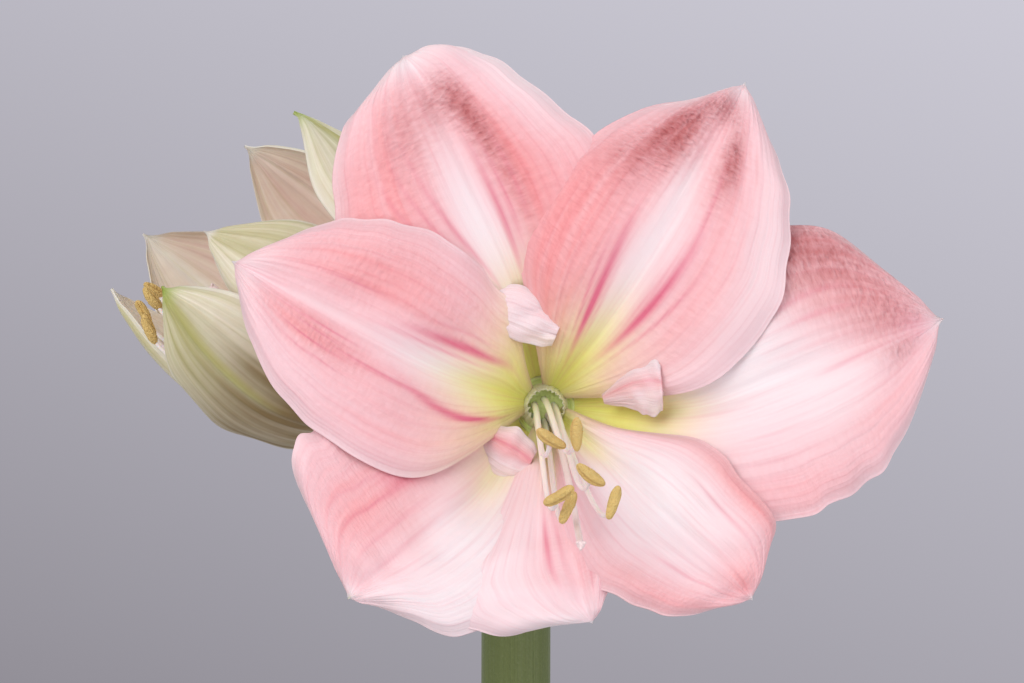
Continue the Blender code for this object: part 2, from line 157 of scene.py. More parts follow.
# The seeds of the random ripples. A piece adds its number to its own.
EDGE_SEED = 11
RUFFLE_SEED = 20
SWELL_SEED = 40
VEIN_SEED = 80
QUILT_SEED = 90
LOBE_EDGE_SEED = 70
LOBE_SWELL_SEED = 75
LOBE_VEIN_SEED = 78
HALF_RUFFLE_SEED = 120
HALF_VEIN_SEED = 140
ANTHER_SEED = 200
BRACT_EDGE_SEED = 300
BRACT_FOLD_SEED = 310
FRINGE_SEED = 7
STEM_SEED = 5
VASE_SEED = 3

# Each open tepal: its midrib, its half widths at fifths of its length either side (mm), its layer, its shoulders by the
# throat (side, place along, spread and extra width in mm), its ruffle and how far each margin tucks in (mm). Each patch
# of colour is (mask, place along, place across, spread along, spread across, strength). Each line runs from one (place
# along, place across) to another, with its width and strength.
OPEN_TEPALS = {
    "top_left": {
        "midrib": ((-3, 9), (-8, 36), (-21, 66), (-33, 88), (-38, 96)),
        "widths": ((20, 38, 34.5, 20), (26, 34.5, 26, 15.5)),
        "layer": -1,
        "shoulders": (),
        "ruffle": 0.8,
        "tucks": (0, 0),
        "patches": (
            # These dusk patches are partly the tepal's own darker rose and partly painted shade where its upper part
            # cups forward and faces down.
            ("dusk_and_shade", 0.61, -0.24, 0.11, 0.13, 0.78),
            ("dusk_and_shade", 0.67, -0.04, 0.07, 0.26, 0.42),
            ("dusk_and_shade", 0.62, 0.36, 0.11, 0.20, 0.28),
            ("dusk_and_shade", 0.46, -0.26, 0.12, 0.08, 0.30),
            ("lime", 0.06, 0.0, 0.12, 1.2, 1.0),
            ("blush", 0.48, 0.62, 0.24, 0.36, 0.80),
            ("blush", 0.44, -0.36, 0.22, 0.26, 0.80),
            ("blush", 0.30, -0.70, 0.16, 0.40, 0.85),
            ("blush", 0.70, 0.30, 0.14, 0.34, 0.35),
            ("pale", 0.36, 0.12, 0.19, 0.15, 0.86),
            ("pale", 0.24, 0.06, 0.12, 0.20, 0.55),
            ("pale", 0.92, 0.10, 0.11, 1.20, 0.75),
            ("pale", 0.66, -0.95, 0.20, 0.25, 0.5),
        ),
        "lines": (
            (0.14, 0.18, 0.70, 0.46, 0.022, 0.50),
            (0.20, 0.28, 0.66, 0.60, 0.018, 0.40),
            (0.24, 0.42, 0.66, 0.74, 0.018, 0.30),
            (0.16, -0.05, 0.66, -0.11, 0.024, 0.60),
            (0.24, -0.13, 0.62, -0.20, 0.018, 0.50),
            (0.30, -0.24, 0.62, -0.32, 0.018, 0.35),
        ),
    },
    "top_right": {
        "midrib": ((4, 8), (20, 28), (36, 53), (46, 72), (54, 88)),
        "widths": ((28.5, 34, 29.5, 18), (30.5, 36, 28.5, 16.5)),
        "layer": 1,
        "shoulders": (),
        "ruffle": 0.7,
        "tucks": (5.0, 0),
        "patches": (
            # These dusk patches are partly the tepal's own darker rose and partly painted shade where its upper part
            # cups forward and faces down.
            ("dusk_and_shade", 0.70, 0.43, 0.12, 0.22, 1.0),
            ("dusk_and_shade", 0.56, 0.62, 0.09, 0.20, 0.35),
            ("dusk_and_shade", 0.70, -0.27, 0.11, 0.12, 0.72),
            ("dusk_and_shade", 0.86, 0.16, 0.07, 0.35, 0.50),
            ("lime", 0.07, 0.0, 0.11, 0.5, 0.9),
            ("blush", 0.20, 0.70, 0.10, 0.3, 0.6),
            ("blush", 0.34, 0.66, 0.24, 0.36, 1.0),
            ("blush", 0.60, 0.10, 0.22, 0.90, 0.45),
            ("blush", 0.32, -0.56, 0.16, 0.26, 0.55),
            ("pale", 0.36, 0.04, 0.18, 0.18, 0.76),
            ("pale", 0.56, 0.08, 0.13, 0.13, 0.66),
            ("pale", 0.50, -0.80, 0.30, 0.22, 0.45),
            ("pale", 0.95, -0.05, 0.05, 0.50, 0.6),
        ),
        "lines": (
            (0.05, 0.14, 0.52, 0.34, 0.042, 1.0),
            (0.10, 0.24, 0.46, 0.42, 0.018, 0.55),
            (0.10, 0.08, 0.40, 0.22, 0.016, 0.40),
            (0.09, -0.18, 0.56, -0.27, 0.044, 1.0),
            (0.12, -0.28, 0.48, -0.44, 0.018, 0.5),
            (0.16, -0.12, 0.50, -0.19, 0.016, 0.40),
            (0.36, -0.24, 0.76, -0.20, 0.022, 0.4),
        ),
    },
    "right": {
        "midrib": ((9, -1), (38, 1), (63, 9), (84, 17), (108, 25)),
        "widths": ((18, 31, 38, 31), (27, 36, 35, 26)),
        "layer": -1,
        "shoulders": (),
        "ruffle": 1.0,
        "tucks": (0, 0),
        "patches": (
            # Painted shadow: the first dusk patch darkens the upper margin where the top right tepal shades this one.
            ("dusk_and_shade", 0.70, 0.80, 0.22, 0.34, 0.74),
            ("dusk_and_shade", 0.86, 0.26, 0.12, 0.30, 0.46),
            ("dusk_and_shade", 0.86, -0.24, 0.07, 0.14, 0.40),
            ("blush", 0.72, 0.35, 0.20, 0.36, 0.60),
            ("blush", 0.72, -0.62, 0.26, 0.26, 0.42),
            ("blush", 0.45, -0.85, 0.20, 0.20, 0.42),
            ("streak", 0.93, -0.02, 0.06, 0.40, 0.35),
            ("pale", 0.40, 0.18, 0.22, 0.50, 0.95),
            ("pale", 0.62, -0.20, 0.16, 0.40, 0.60),
            ("pale", 0.98, 0.0, 0.07, 0.60, 0.70),
            ("lime", 0.10, -0.10, 0.11, 0.55, 1.0),
        ),
        "lines": (
            (0.45, 0.42, 0.82, 0.50, 0.025, 0.4),
            (0.50, 0.30, 0.86, 0.34, 0.020, 0.35),
            (0.55, -0.10, 0.90, -0.06, 0.022, 0.4),
        ),
    },
    "low_right": {
        "midrib": ((7, -6), (18, -16), (34, -31), (47, -43), (54, -50)),
        "widths": ((9.5, 22, 20.5, 17.5), (17, 26, 22.5, 13.5)),
        "layer": 1,
        "shoulders": (),
        "ruffle": 1.1,
        "tucks": (0, 0),
        "patches": (
            ("blush", 0.60, 0.94, 0.30, 0.26, 0.95),
            ("blush", 0.62, -0.82, 0.26, 0.24, 0.70),
            ("blush", 0.86, 0.05, 0.13, 0.60, 0.68),
            ("pale", 0.38, 0.10, 0.30, 0.66, 1.0),
            ("pale", 0.99, 0.0, 0.03, 0.40, 0.70),
            ("lime", 0.10, 0.30, 0.08, 0.60, 0.45),
        ),
        "lines": ((0.40, 0.55, 0.85, 0.50, 0.022, 0.3), (0.45, -0.45, 0.85, -0.40, 0.022, 0.3)),
    },
    "bottom": {
        "midrib": ((1, -9), (3, -24), (6, -37), (9, -48), (12, -55)),
        "widths": ((10, 14, 14, 9), (14, 26, 34, 24)),
        "layer": 0,
        "shoulders": (),
        "ruffle": 0.5,
        "tucks": (0, 4.2),
        "patches": (
            ("blush", 0.56, 0.30, 0.20, 0.30, 0.45),
            ("blush", 0.55, -0.20, 0.16, 0.20, 0.35),
            ("pale", 0.55, -0.60, 0.50, 0.60, 0.50),
            ("pale", 0.92, -0.50, 0.12, 0.90, 0.55),
        ),
        "lines": (
            (0.24, -0.22, 0.80, -0.16, 0.030, 0.75),
            (0.30, -0.10, 0.70, -0.06, 0.020, 0.35),
            (0.5, 0.3, 0.9, 0.3, 0.03, 0.3),
        ),
    },
    "low_left": {
        "midrib": ((-6, -7), (-17, -22), (-32, -34), (-43, -42), (-51, -48)),
        "widths": ((20, 27, 24.5, 12), (30, 40, 41, 36)),
        "layer": -1,
        "shoulders": (),
        "ruffle": 1.2,
        "tucks": (0, 0),
        "patches": (
            ("blush", 0.66, -0.40, 0.22, 0.40, 0.66),
            ("blush", 0.50, -0.16, 0.10, 0.20, 0.60),
            # Painted shade: the next two patches deepen the pink where the left tepal's margin shades this one.
            ("blush", 0.36, -0.45, 0.14, 0.32, 0.75),
            ("streak", 0.40, -0.44, 0.09, 0.10, 0.70),
            ("pale", 0.36, 0.30, 0.20, 0.55, 0.85),
            ("pale", 0.60, 0.60, 0.40, 0.55, 0.75),
            ("pale", 0.98, 0.0, 0.05, 0.40, 0.80),
            ("lime", 1.0, 0.0, 0.018, 0.20, 0.60),
        ),
        "lines": (
            (0.30, -0.20, 0.95, -0.18, 0.016, 0.35),
            (0.34, -0.34, 0.95, -0.42, 0.014, 0.35),
            (0.36, -0.06, 0.95, -0.02, 0.014, 0.3),
            (0.34, -0.48, 0.92, -0.60, 0.014, 0.3),
        ),
    },
    "left": {
        "midrib": ((-9, 2), (-29, 9), (-52, 21), (-70, 31), (-83, 39)),
        "widths": ((27, 28.5, 23.5, 13), (28, 33, 29, 18)),
        "layer": 1,
        "shoulders": ((-1, 0.11, 0.05, 6),),
        "ruffle": 0.8,
        "tucks": (0, 0.8),
        "patches": (
            ("blush", 0.52, -0.55, 0.30, 0.36, 0.80),
            ("blush", 0.62, 0.28, 0.22, 0.22, 0.80),
            ("blush", 0.30, 0.60, 0.20, 0.30, 0.40),
            ("dusk_and_shade", 0.58, 0.28, 0.14, 0.16, 0.12),
            ("lime", 0.05, 0.0, 0.12, 1.0, 1.0),
            ("pale", 0.26, -0.06, 0.16, 0.15, 0.95),
            ("pale", 0.62, -0.04, 0.20, 0.05, 0.40),
            ("pale", 0.92, 0.0, 0.10, 0.80, 0.4),
        ),
        "lines": (
            (0.04, -0.42, 0.48, -0.17, 0.050, 1.0),
            (0.10, -0.24, 0.56, -0.10, 0.018, 0.5),
            (0.12, -0.52, 0.44, -0.30, 0.018, 0.4),
            (0.03, 0.62, 0.40, 0.16, 0.048, 1.0),
            (0.20, 0.28, 0.62, 0.27, 0.020, 0.6),
            (0.40, 0.13, 0.84, 0.17, 0.012, 0.75),
            (0.42, 0.21, 0.82, 0.25, 0.010, 0.60),
            (0.42, 0.33, 0.80, 0.37, 0.012, 0.70),
            (0.42, 0.45, 0.76, 0.52, 0.012, 0.55),
            (0.40, -0.34, 0.84, -0.38, 0.012, 0.35),
        ),
    },
}

# Each lobe that curls up beside the throat: its curve, its half widths at its start, middle and end, and how far its
# edges roll back (mm), with how deep the pink of its fold is
CURLED_LOBES = {
    "upper_left": (((-19, 29, 25), (-7.5, 25.5, 25.5), (3.4, 21, 22.5)), (5.0, 7.0, 5.6), 2.2, 0.12),
    "lower_left": (((-18, -8, 18.5), (-11.5, -12.5, 21), (-4.4, -16, 20)), (4.0, 7.8, 5.6), 2.6, 0.7),
    "upper_right": (((16, 2.2, 17.5), (24, 4.8, 28.0), (31, 5.2, 33.0)), (1.2, 6.0, 8.0), 2.4, 0.5),
}

# Each half-open tepal: angle round the cup, its tip's shift round and along it, its half widths, its layer, and its
# patches as above
HALF_TEPALS = {
    "front": (
        (-40, 10, -11),
        (19, 25, 25, 18),
        1,
        (
            # Painted shade: the olive patches, where the open flower shades this tepal.
            ("olive_shade", 0.30, 0.10, 0.34, 1.40, 1.0),
            ("olive_shade", 0.60, 0.20, 0.10, 0.30, 0.45),
            ("olive_shade", 0.52, -0.60, 0.18, 0.50, 0.7),
            ("green", 0.80, -0.45, 0.22, 0.40, 0.6),
            ("green", 0.88, 0.10, 0.14, 0.20, 0.6),
            ("tip", 1.0, 0.0, 0.05, 2.0, 1.0),
        ),
    ),
    "top": (
        (62, 16, -3),
        (19, 25, 27, 24),
        1,
        (("green", 0.90, 0.0, 0.16, 0.6, 0.6), ("tip", 1.0, 0.0, 0.05, 2.0, 1.0)),
    ),
    "back": (
        (200, 5, 13),
        (19, 25, 26, 23),
        1,
        (("rose", 0.78, -0.62, 0.20, 0.42, 0.95), ("rose", 0.45, -0.2, 0.3, 0.8, 0.4)),
    ),
    "inner_front": ((22, -24, -9), (15, 20, 20, 16), -1, (("green", 0.80, 0.5, 0.3, 0.6, 0.45),)),
    "inner_back": ((140, 2, 7), (15, 20, 23, 22), -1, (("rose", 0.80, 0.2, 0.30, 0.7, 0.85),)),
    "inner_bottom": (
        (246, 0, 7),
        (15, 20, 20, 14),
        -1,
        # Painted shade: the olive patch.
        (("olive_shade", 0.62, 0.3, 0.24, 0.8, 0.35), ("green", 0.86, 0.7, 0.2, 0.4, 0.4)),
    ),
}

# Each anther: its centre and the way its length points (mm)
OPEN_ANTHERS = (
    ((7.5, -6, 68), (0, 1, 0.2)),
    ((11, -16, 72), (-0.8, 0.6, 0.1)),
    ((16.5, -23, 75), (-0.3, -0.95, 0.1)),
    ((5, -24.5, 70.5), (-0.4, -0.9, 0.1)),
    ((2.5, -21, 77), (0.85, 0.5, 0.2)),
    ((1, -7, 65), (-0.8, 0.5, 0.2)),
)
HALF_ANTHERS = (
    ((3, -26, 120), (0.5, -0.2, 1)),
    ((12, -28, 118), (0.3, 0.2, 1)),
    ((16, -36, 112), (0.1, 0.4, 1)),
    ((6, -36, 114), (-0.3, 0.5, 1)),
    ((-4, -35, 119), (0, 0.4, 1)),
    ((-8, -26, 115), (0.2, 0.3, 1)),
)


# ---------------------------------------------------------------- sizes taken from the solids


def stem_line():
    """The stem's radius and the middles of its two ends. A leaning rod's box is larger than its ends' middles by its
    radius times the cosine of the lean one way, and the sine the other."""
    low, high = (np.array(corner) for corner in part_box("stem"))
    radius, lean = (high[0] - low[0]) / 2, 0.0
    for _ in range(6):
        level, rise = radius * math.cos(lean), radius * math.sin(lean)
        foot = np.array((0, high[1] - level, low[2] + rise))
        top = np.array((0, low[1] + level, high[2] - rise))
        lean = math.atan2(foot[1] - top[1], top[2] - foot[2])
    return radius, foot, top


STEM_RADIUS, STEM_FOOT, STEM_TOP = stem_line()
STEM_AXIS = (STEM_TOP - STEM_FOOT) / np.linalg.norm(STEM_TOP - STEM_FOOT)
THROAT = STEM_TOP + OPEN_THROAT
HALF_ORIGIN = STEM_TOP + HALF_BASE
OPEN_AXES = np.array(((1, 0, 0), (0, 0, 1), (0, -1, 0)), float)  # the open flower's X, Y and Z in the world
FRONT = np.array((0, -1.0, 0))
HALF_AXES = np.array((FRONT, np.cross(HALF_AXIS, FRONT), HALF_AXIS))
OPEN_WAY = np.array((LEAN_RIGHT, LEAN_UP, 1)) / math.sqrt(LEAN_RIGHT**2 + LEAN_UP**2 + 1)
VASE_HIGH = np.array(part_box("vase")[1])
VASE_HEIGHT = VASE_HIGH[2]
BELLY_RADIUS = VASE_HIGH[0]
VASE_NECK_HEIGHT = VASE_HEIGHT - VASE_NECK_DROP
VASE_NECK_RADIUS = STEM_RADIUS + VASE_NECK_CLEARANCE + VASE_WALL


def to_world(points, axes, origin):
    """Points given in a flower's own frame, in the world."""
    return np.asarray(points) @ axes + origin


# ---------------------------------------------------------------- curves and patterns as arrays


def spline(points, at):
    """Points of a smooth curve through these points, evenly shared out over `at` from 0 to 1: between two points the
    value is a cubic whose slope at each is half the difference of its neighbours."""
    points = np.asarray(points, float)
    before, after = 2 * points[0] - points[1], 2 * points[-1] - points[-2]
    points = np.concatenate([[before], points, [after]])
    spans = len(points) - 3
    place = np.clip(at, 0, 1) * spans
    first = np.minimum(place.astype(int), spans - 1)
    f = (place - first).reshape(*place.shape, *[1] * (points.ndim - 1))
    a, b, c, d = (points[first + i] for i in range(4))
    return b + (c - a) * f / 2 + (a - 2.5 * b + 2 * c - d / 2) * f**2 + (1.5 * (b - c) + (d - a) / 2) * f**3


def bezier(start, start_handle, end_handle, end, count):
    """Points of a cubic curve: each handle weighted by its share of (1 - f + f) cubed."""
    f = np.linspace(0, 1, count)[:, None]
    return start * (1 - f) ** 3 + start_handle * 3 * f * (1 - f) ** 2 + end_handle * 3 * f**2 * (1 - f) + end * f**3


def ripple(x, y, seed, waves=14):
    """Smooth unevenness from about -1 to 1: the sum of plane waves of about one cycle per unit, whose ways, lengths
    and phases are drawn from this seed."""
    draw = np.random.default_rng(seed)
    way = draw.uniform(0, 2 * math.pi, waves)
    cycles = draw.uniform(0.6, 1.5, waves)
    phase = draw.uniform(0, 2 * math.pi, waves)
    total = np.zeros(np.broadcast(x, y).shape)
    for w, c, p in zip(way, cycles, phase):
        total += np.cos(2 * math.pi * c * (x * math.cos(w) + y * math.sin(w)) + p)
    return total / math.sqrt(waves)


def hill(x, centre, spread):
    """A bell: one at the centre, and falling off as the square of the distance in spreads."""
    return np.exp(-(((x - centre) / spread) ** 2))


def ease(x):
    """A smooth step from 0 to 1: three times the square less twice the cube."""
    x = np.clip(x, 0, 1)
    return x * x * (3 - 2 * x)


def unit(vectors):
    """Vectors of length one, the same way."""
    return vectors / np.linalg.norm(vectors, axis=-1, keepdims=True)


def run_of(points, at, step=0.001):
    """Which way the smooth curve through these points runs, from its points a step before and a step after."""
    return unit(spline(points, at + step) - spline(points, at - step))


def circle(count):
    """Angles evenly spread round one turn."""
    return np.linspace(0, 2 * math.pi, count, endpoint=False)


def normals_of(points):
    """Unit normals of a grid of points: the cross product of its two gradients."""
    along, across = np.gradient(points, axis=0), np.gradient(points, axis=1)
    normal = np.cross(along, across)
    return normal / np.maximum(np.linalg.norm(normal, axis=2, keepdims=True), 1e-12)


# ---------------------------------------------------------------- meshes from arrays


def grid_faces(rows, columns, round_rows=False, round_columns=False):
    """Corner numbers of a grid's quads, and each corner's place from 0 to 1 both ways."""
    spans = (rows - (not round_rows), columns - (not round_columns))
    r, c = (grid.ravel() for grid in np.meshgrid(*map(np.arange, spans), indexing="ij"))
    corner_rows = np.stack([r, r + 1, r + 1, r], 1)
    corner_columns = np.stack([c, c, c + 1, c + 1], 1)
    faces = corner_rows % rows * columns + corner_columns % columns
    return faces, np.stack([corner_rows / spans[0], corner_columns / spans[1]], 2)


def new_piece(name, points, faces, places, masks, material, slot, nodes, flip=False):
    """An object from arrays of points and faces, each corner's place on the surface as its UV, and masks as point
    attributes. It stands for these nodes, if any."""
    faces = [face[:, ::-1] if flip else face for face in faces]
    places = [place[:, ::-1] if flip else place for place in places]
    mesh = bpy.data.meshes.new(name)
    mesh.from_pydata(points.tolist(), [], [corners for face in faces for corners in face.tolist()])
    layer = mesh.uv_layers.new(name="surface")
    layer.data.foreach_set("uv", np.concatenate([place.reshape(-1, 2) for place in places]).astype(np.float32).ravel())
    for mask, values in masks.items():
        attribute = mesh.attributes.new(mask, "FLOAT", "POINT")
        attribute.data.foreach_set("value", np.ascontiguousarray(values, np.float32).ravel())
    mesh.validate()
    mesh.shade_smooth()
    mesh.materials.append(material)
    piece = bpy.data.objects.new(name, mesh)
    bpy.context.scene.collection.objects.link(piece)
    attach(piece, "root")
    if nodes:
        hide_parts(*nodes)
    return piece


def leaf(name, middle, lift, half_thickness, masks, outward, material, slot, node):
    """A closed thin leaf. Its middle surface is raised along its normals by `lift`, its two sides lie half its
    thickness either way, and a strip closes the edge. `outward` is a grid of vectors that its upper face looks along,
    and the mask `outside` is one on its lower face."""
    normal = normals_of(middle)
    facing = float((normal * outward).sum()) > 0
    normal = normal if facing else -normal
    rows, columns = middle.shape[:2]
    upper = middle + normal * (lift + half_thickness)[..., None]
    lower = middle + normal * (lift - half_thickness)[..., None]
    points = np.concatenate([upper.reshape(-1, 3), lower.reshape(-1, 3)])
    faces, places = grid_faces(rows, columns)
    count = rows * columns
    index = np.arange(count).reshape(rows, columns)
    edge = np.concatenate([index[:, 0], index[-1, 1:], index[-2::-1, -1], index[0, -2:0:-1]])
    after = np.roll(edge, -1)
    strip = np.stack([edge, edge + count, after + count, after], 1)
    grid = np.stack(np.meshgrid(np.linspace(0, 1, rows), np.linspace(0, 1, columns), indexing="ij"), 2).reshape(-1, 2)
    strip_places = grid[strip % count]
    masks = {mask: np.concatenate([values.ravel(), values.ravel()]) for mask, values in masks.items()}
    masks["outside"] = np.repeat((0.0, 1.0), count)
    return new_piece(
        name,
        points,
        [faces, faces[:, ::-1] + count, strip],
        [places, places[:, ::-1], strip_places],
        masks,
        material,
        slot,
        [node] if node else [],
        flip=not facing,
    )


def end_fans(rings, steps):
    """The triangles that close rings of points at both ends, round two points that come after the rings' points, and
    their corners' places."""
    count, last = rings * steps, (rings - 1) * steps
    around = np.arange(steps)
    after = (around + 1) % steps
    start = np.stack([np.full(steps, count), around, after], 1)
    end = np.stack([np.full(steps, count + 1), last + after, last + around], 1)
    return [start, end], [np.zeros((steps, 3, 2)), np.ones((steps, 3, 2))]


def closed_tube(path, radius, side_way, round_points):
    """Points and faces of a closed tube: a ring round each point of the path, square to it, whose radius may change
    along it and round it, and a point at each end that closes it."""
    tangent = unit(np.gradient(path, axis=0))
    side = unit(np.cross(tangent, side_way))
    other = np.cross(tangent, side)
    angle = circle(round_points)
    radius = np.broadcast_to(np.asarray(radius, float).reshape(len(path), -1), (len(path), round_points))
    ring = np.cos(angle)[None, :, None] * side[:, None] + np.sin(angle)[None, :, None] * other[:, None]
    points = path[:, None] + radius[..., None] * ring
    faces, places = grid_faces(len(path), round_points, round_columns=True)
    fans, fan_places = end_fans(len(path), round_points)
    points = np.concatenate([points.reshape(-1, 3), path[:1], path[-1:]])
    return points, [faces, *fans], [places, *fan_places]


def rounded(path, radius, steps=5):
    """A path and its radii with a round end added at its far end: the radius falls as the cosine of a quarter turn
    while the path goes on by its sine."""
    way = unit(path[-1] - path[-2])
    turn = np.linspace(0, math.pi / 2, steps + 1)[1:] * 0.98
    size = radius[-1]
    more = path[-1] + (np.sin(turn) * size.mean())[:, None] * way
    return np.concatenate([path, more]), np.concatenate([radius, np.cos(turn)[:, None] * size])


def join_parts(parts):
    """Several closed shapes as one: their points one after another, and their corner numbers shifted to match."""
    points, faces, places, start = [], [], [], 0
    for part_points, part_faces, part_places in parts:
        points.append(part_points)
        faces += [face + start for face in part_faces]
        places += part_places
        start += len(part_points)
    return np.concatenate(points), faces, places


def turned_shape(profile, steps, uneven=0.0, seed=VASE_SEED):
    """A closed body turned about Z: each (radius, height) of the profile, which runs from the axis round to the axis,
    makes a ring. `uneven` is how far a hand leaves it out of round."""
    profile = np.asarray(profile, float)
    ends, rings = profile[[0, -1]], profile[1:-1]
    angle = circle(steps)
    radius = rings[:, :1] + uneven * ripple(3 * np.cos(angle)[None], 3 * np.sin(angle)[None] + rings[:, 1:] * 22, seed)
    points = np.stack(
        [radius * np.cos(angle), radius * np.sin(angle), np.broadcast_to(rings[:, 1:], radius.shape)], 2
    )
    faces, places = grid_faces(len(rings), steps, round_columns=True)
    fans, fan_places = end_fans(len(rings), steps)
    tops = np.stack([np.zeros(2), np.zeros(2), ends[:, 1]], 1)
    points = np.concatenate([points.reshape(-1, 3), tops])
    return points, [faces, *fans], [places, *fan_places]


# ---------------------------------------------------------------- material building


def add_node(tree, kind, inputs=None, **settings):
    """A node with these settings, and each input given either a value or another node's output."""
    node = tree.nodes.new(kind)
    for key, value in settings.items():
        setattr(node, key, value)
    for key, value in (inputs or {}).items():
        if isinstance(value, bpy.types.NodeSocket):
            tree.links.new(value, node.inputs[key])
        else:
            node.inputs[key].default_value = value
    return node


def maths(tree, operation, *values, clamp=False):
    return add_node(tree, "ShaderNodeMath", dict(enumerate(values)), operation=operation, use_clamp=clamp).outputs[0]


def times(tree, first, second, clamp=False):
    return maths(tree, "MULTIPLY", first, second, clamp=clamp)


def scaled(tree, value, scale, offset, clamp=False):
    return maths(tree, "MULTIPLY_ADD", value, scale, offset, clamp=clamp)


def shaded(colour, share):
    """A share of a colour."""
    return tuple(share * value for value in colour)


def blended(first, second, share):
    """Two colours blended, with this share of the second."""
    return tuple((1 - share) * a + share * b for a, b in zip(first, second))


def colour_mix(tree, amount, first, second, blend="MIX"):
    """Two colours mixed by an amount."""

    def opaque(colour):
        return colour if isinstance(colour, bpy.types.NodeSocket) else (*colour[:3], 1)

    inputs = {0: amount, 6: opaque(first), 7: opaque(second)}
    return add_node(tree, "ShaderNodeMix", inputs, data_type="RGBA", blend_type=blend, clamp_factor=True).outputs[2]


def mask_of(tree, name):
    return add_node(tree, "ShaderNodeAttribute", attribute_name=name, attribute_type="GEOMETRY").outputs["Fac"]


def group_of(name, inputs, outputs):
    """A new shader group with these number inputs (name: default) and number outputs."""
    group = bpy.data.node_groups.new(name, "ShaderNodeTree")
    for socket, default in inputs.items():
        group.interface.new_socket(socket, in_out="INPUT", socket_type="NodeSocketFloat").default_value = default
    for socket in outputs:
        group.interface.new_socket(socket, in_out="OUTPUT", socket_type="NodeSocketFloat")
    return group, group.nodes.new("NodeGroupInput"), group.nodes.new("NodeGroupOutput")


def veined_skin_group():
    """Long veins that run from base to tip, and short wrinkles that cross them, on the piece's own surface
    coordinates; and the grain of the skin's cells, on Object coordinates."""
    names = ("Veins", "Fine Veins", "Wrinkles", "Cells")
    inputs = {"Veins Across": 16.0, "Waves Along": 1.4, "Wrinkles Along": 34.0, "Cell Scale": 2200.0}
    group, given, out = group_of("Veined skin", inputs, names)
    place = add_node(group, "ShaderNodeUVMap", uv_map="surface").outputs[0]
    split = add_node(group, "ShaderNodeSeparateXYZ", {0: place})
    along, across = split.outputs[0], split.outputs[1]

    def noise(u, v, detail, offset):
        where = add_node(group, "ShaderNodeCombineXYZ", {0: u, 1: v, 2: offset}).outputs[0]
        inputs = {"Vector": where, "Scale": 1.0, "Detail": detail, "Roughness": 0.55}
        return add_node(group, "ShaderNodeTexNoise", inputs, noise_dimensions="3D").outputs["Fac"]

    u = times(group, along, given.outputs["Waves Along"])
    v = times(group, across, given.outputs["Veins Across"])
    broad = noise(u, v, 2.0, 0.0)
    fine = noise(times(group, u, 1.6), times(group, v, 3.1), 2.0, 4.0)
    crossing = noise(
        times(group, along, given.outputs["Wrinkles Along"]), times(group, v, 1.3), 2.0, 9.0
    )
    body = add_node(group, "ShaderNodeTexCoord").outputs["Object"]
    inputs = {"Vector": body, "Scale": given.outputs["Cell Scale"]}
    cells = add_node(group, "ShaderNodeTexVoronoi", inputs).outputs["Distance"]
    spread = [scaled(group, value, 2.6, -0.8, clamp=True) for value in (broad, fine, crossing)]
    for value, socket in zip((*spread, cells), names):
        group.links.new(value, out.inputs[socket])
    return group


def uneven_surface_group():
    """Two sizes of unevenness on Object coordinates: broad clouds and a fine grain."""
    group, given, out = group_of("Uneven surface", {"Cloud Scale": 18.0, "Grain Scale": 900.0}, ("Clouds", "Grain"))
    body = add_node(group, "ShaderNodeTexCoord").outputs["Object"]
    for scale, socket, detail in (("Cloud Scale", "Clouds", 3.0), ("Grain Scale", "Grain", 2.0)):
        inputs = {"Vector": body, "Scale": given.outputs[scale], "Detail": detail}
        value = add_node(group, "ShaderNodeTexNoise", inputs).outputs["Fac"]
        group.links.new(scaled(group, value, 2.4, -0.7, clamp=True), out.inputs[socket])
    return group


def use_group(tree, name, build, values):
    """The outputs of a shared group, which is built at its first use."""
    node = add_node(tree, "ShaderNodeGroup", node_tree=bpy.data.node_groups.get(name) or build())
    for key, value in values.items():
        node.inputs[key].default_value = value
    return node.outputs


def veined_skin(tree, across, along, wrinkles, cells):
    values = {"Veins Across": across, "Waves Along": along, "Wrinkles Along": wrinkles, "Cell Scale": cells}
    return use_group(tree, "Veined skin", veined_skin_group, values)


def uneven_surface(tree, cloud, grain):
    values = {"Cloud Scale": cloud, "Grain Scale": grain}
    return use_group(tree, "Uneven surface", uneven_surface_group, values)


def new_material(name, roughness, colour=None, **settings):
    """A material with its own Principled shader, whose plain settings are on the shader's sockets."""
    material = bpy.data.materials.new(name)
    material.use_nodes = True
    tree = material.node_tree
    shader = tree.nodes["Principled BSDF"]
    shader.inputs["Roughness"].default_value = roughness
    for key, value in settings.items():
        shader.inputs[key.replace("_", " ").title().replace("Ior", "IOR")].default_value = value
    if colour:
        shader.inputs["Base Color"].default_value = (*colour, 1)
    return material, tree, shader


def feed(tree, shader, socket, value):
    tree.links.new(value, shader.inputs[socket])


def bump(tree, shader, heights, distance=0.0003, strength=1.0):
    """Feeds the shader's Normal from the sum of (height, share) pairs."""
    total = None
    for height, share in heights:
        part = times(tree, height, share)
        total = part if total is None else maths(tree, "ADD", total, part)
    inputs = {"Strength": strength, "Distance": distance, "Height": total}
    normal = add_node(tree, "ShaderNodeBump", inputs).outputs["Normal"]
    feed(tree, shader, "Normal", normal)


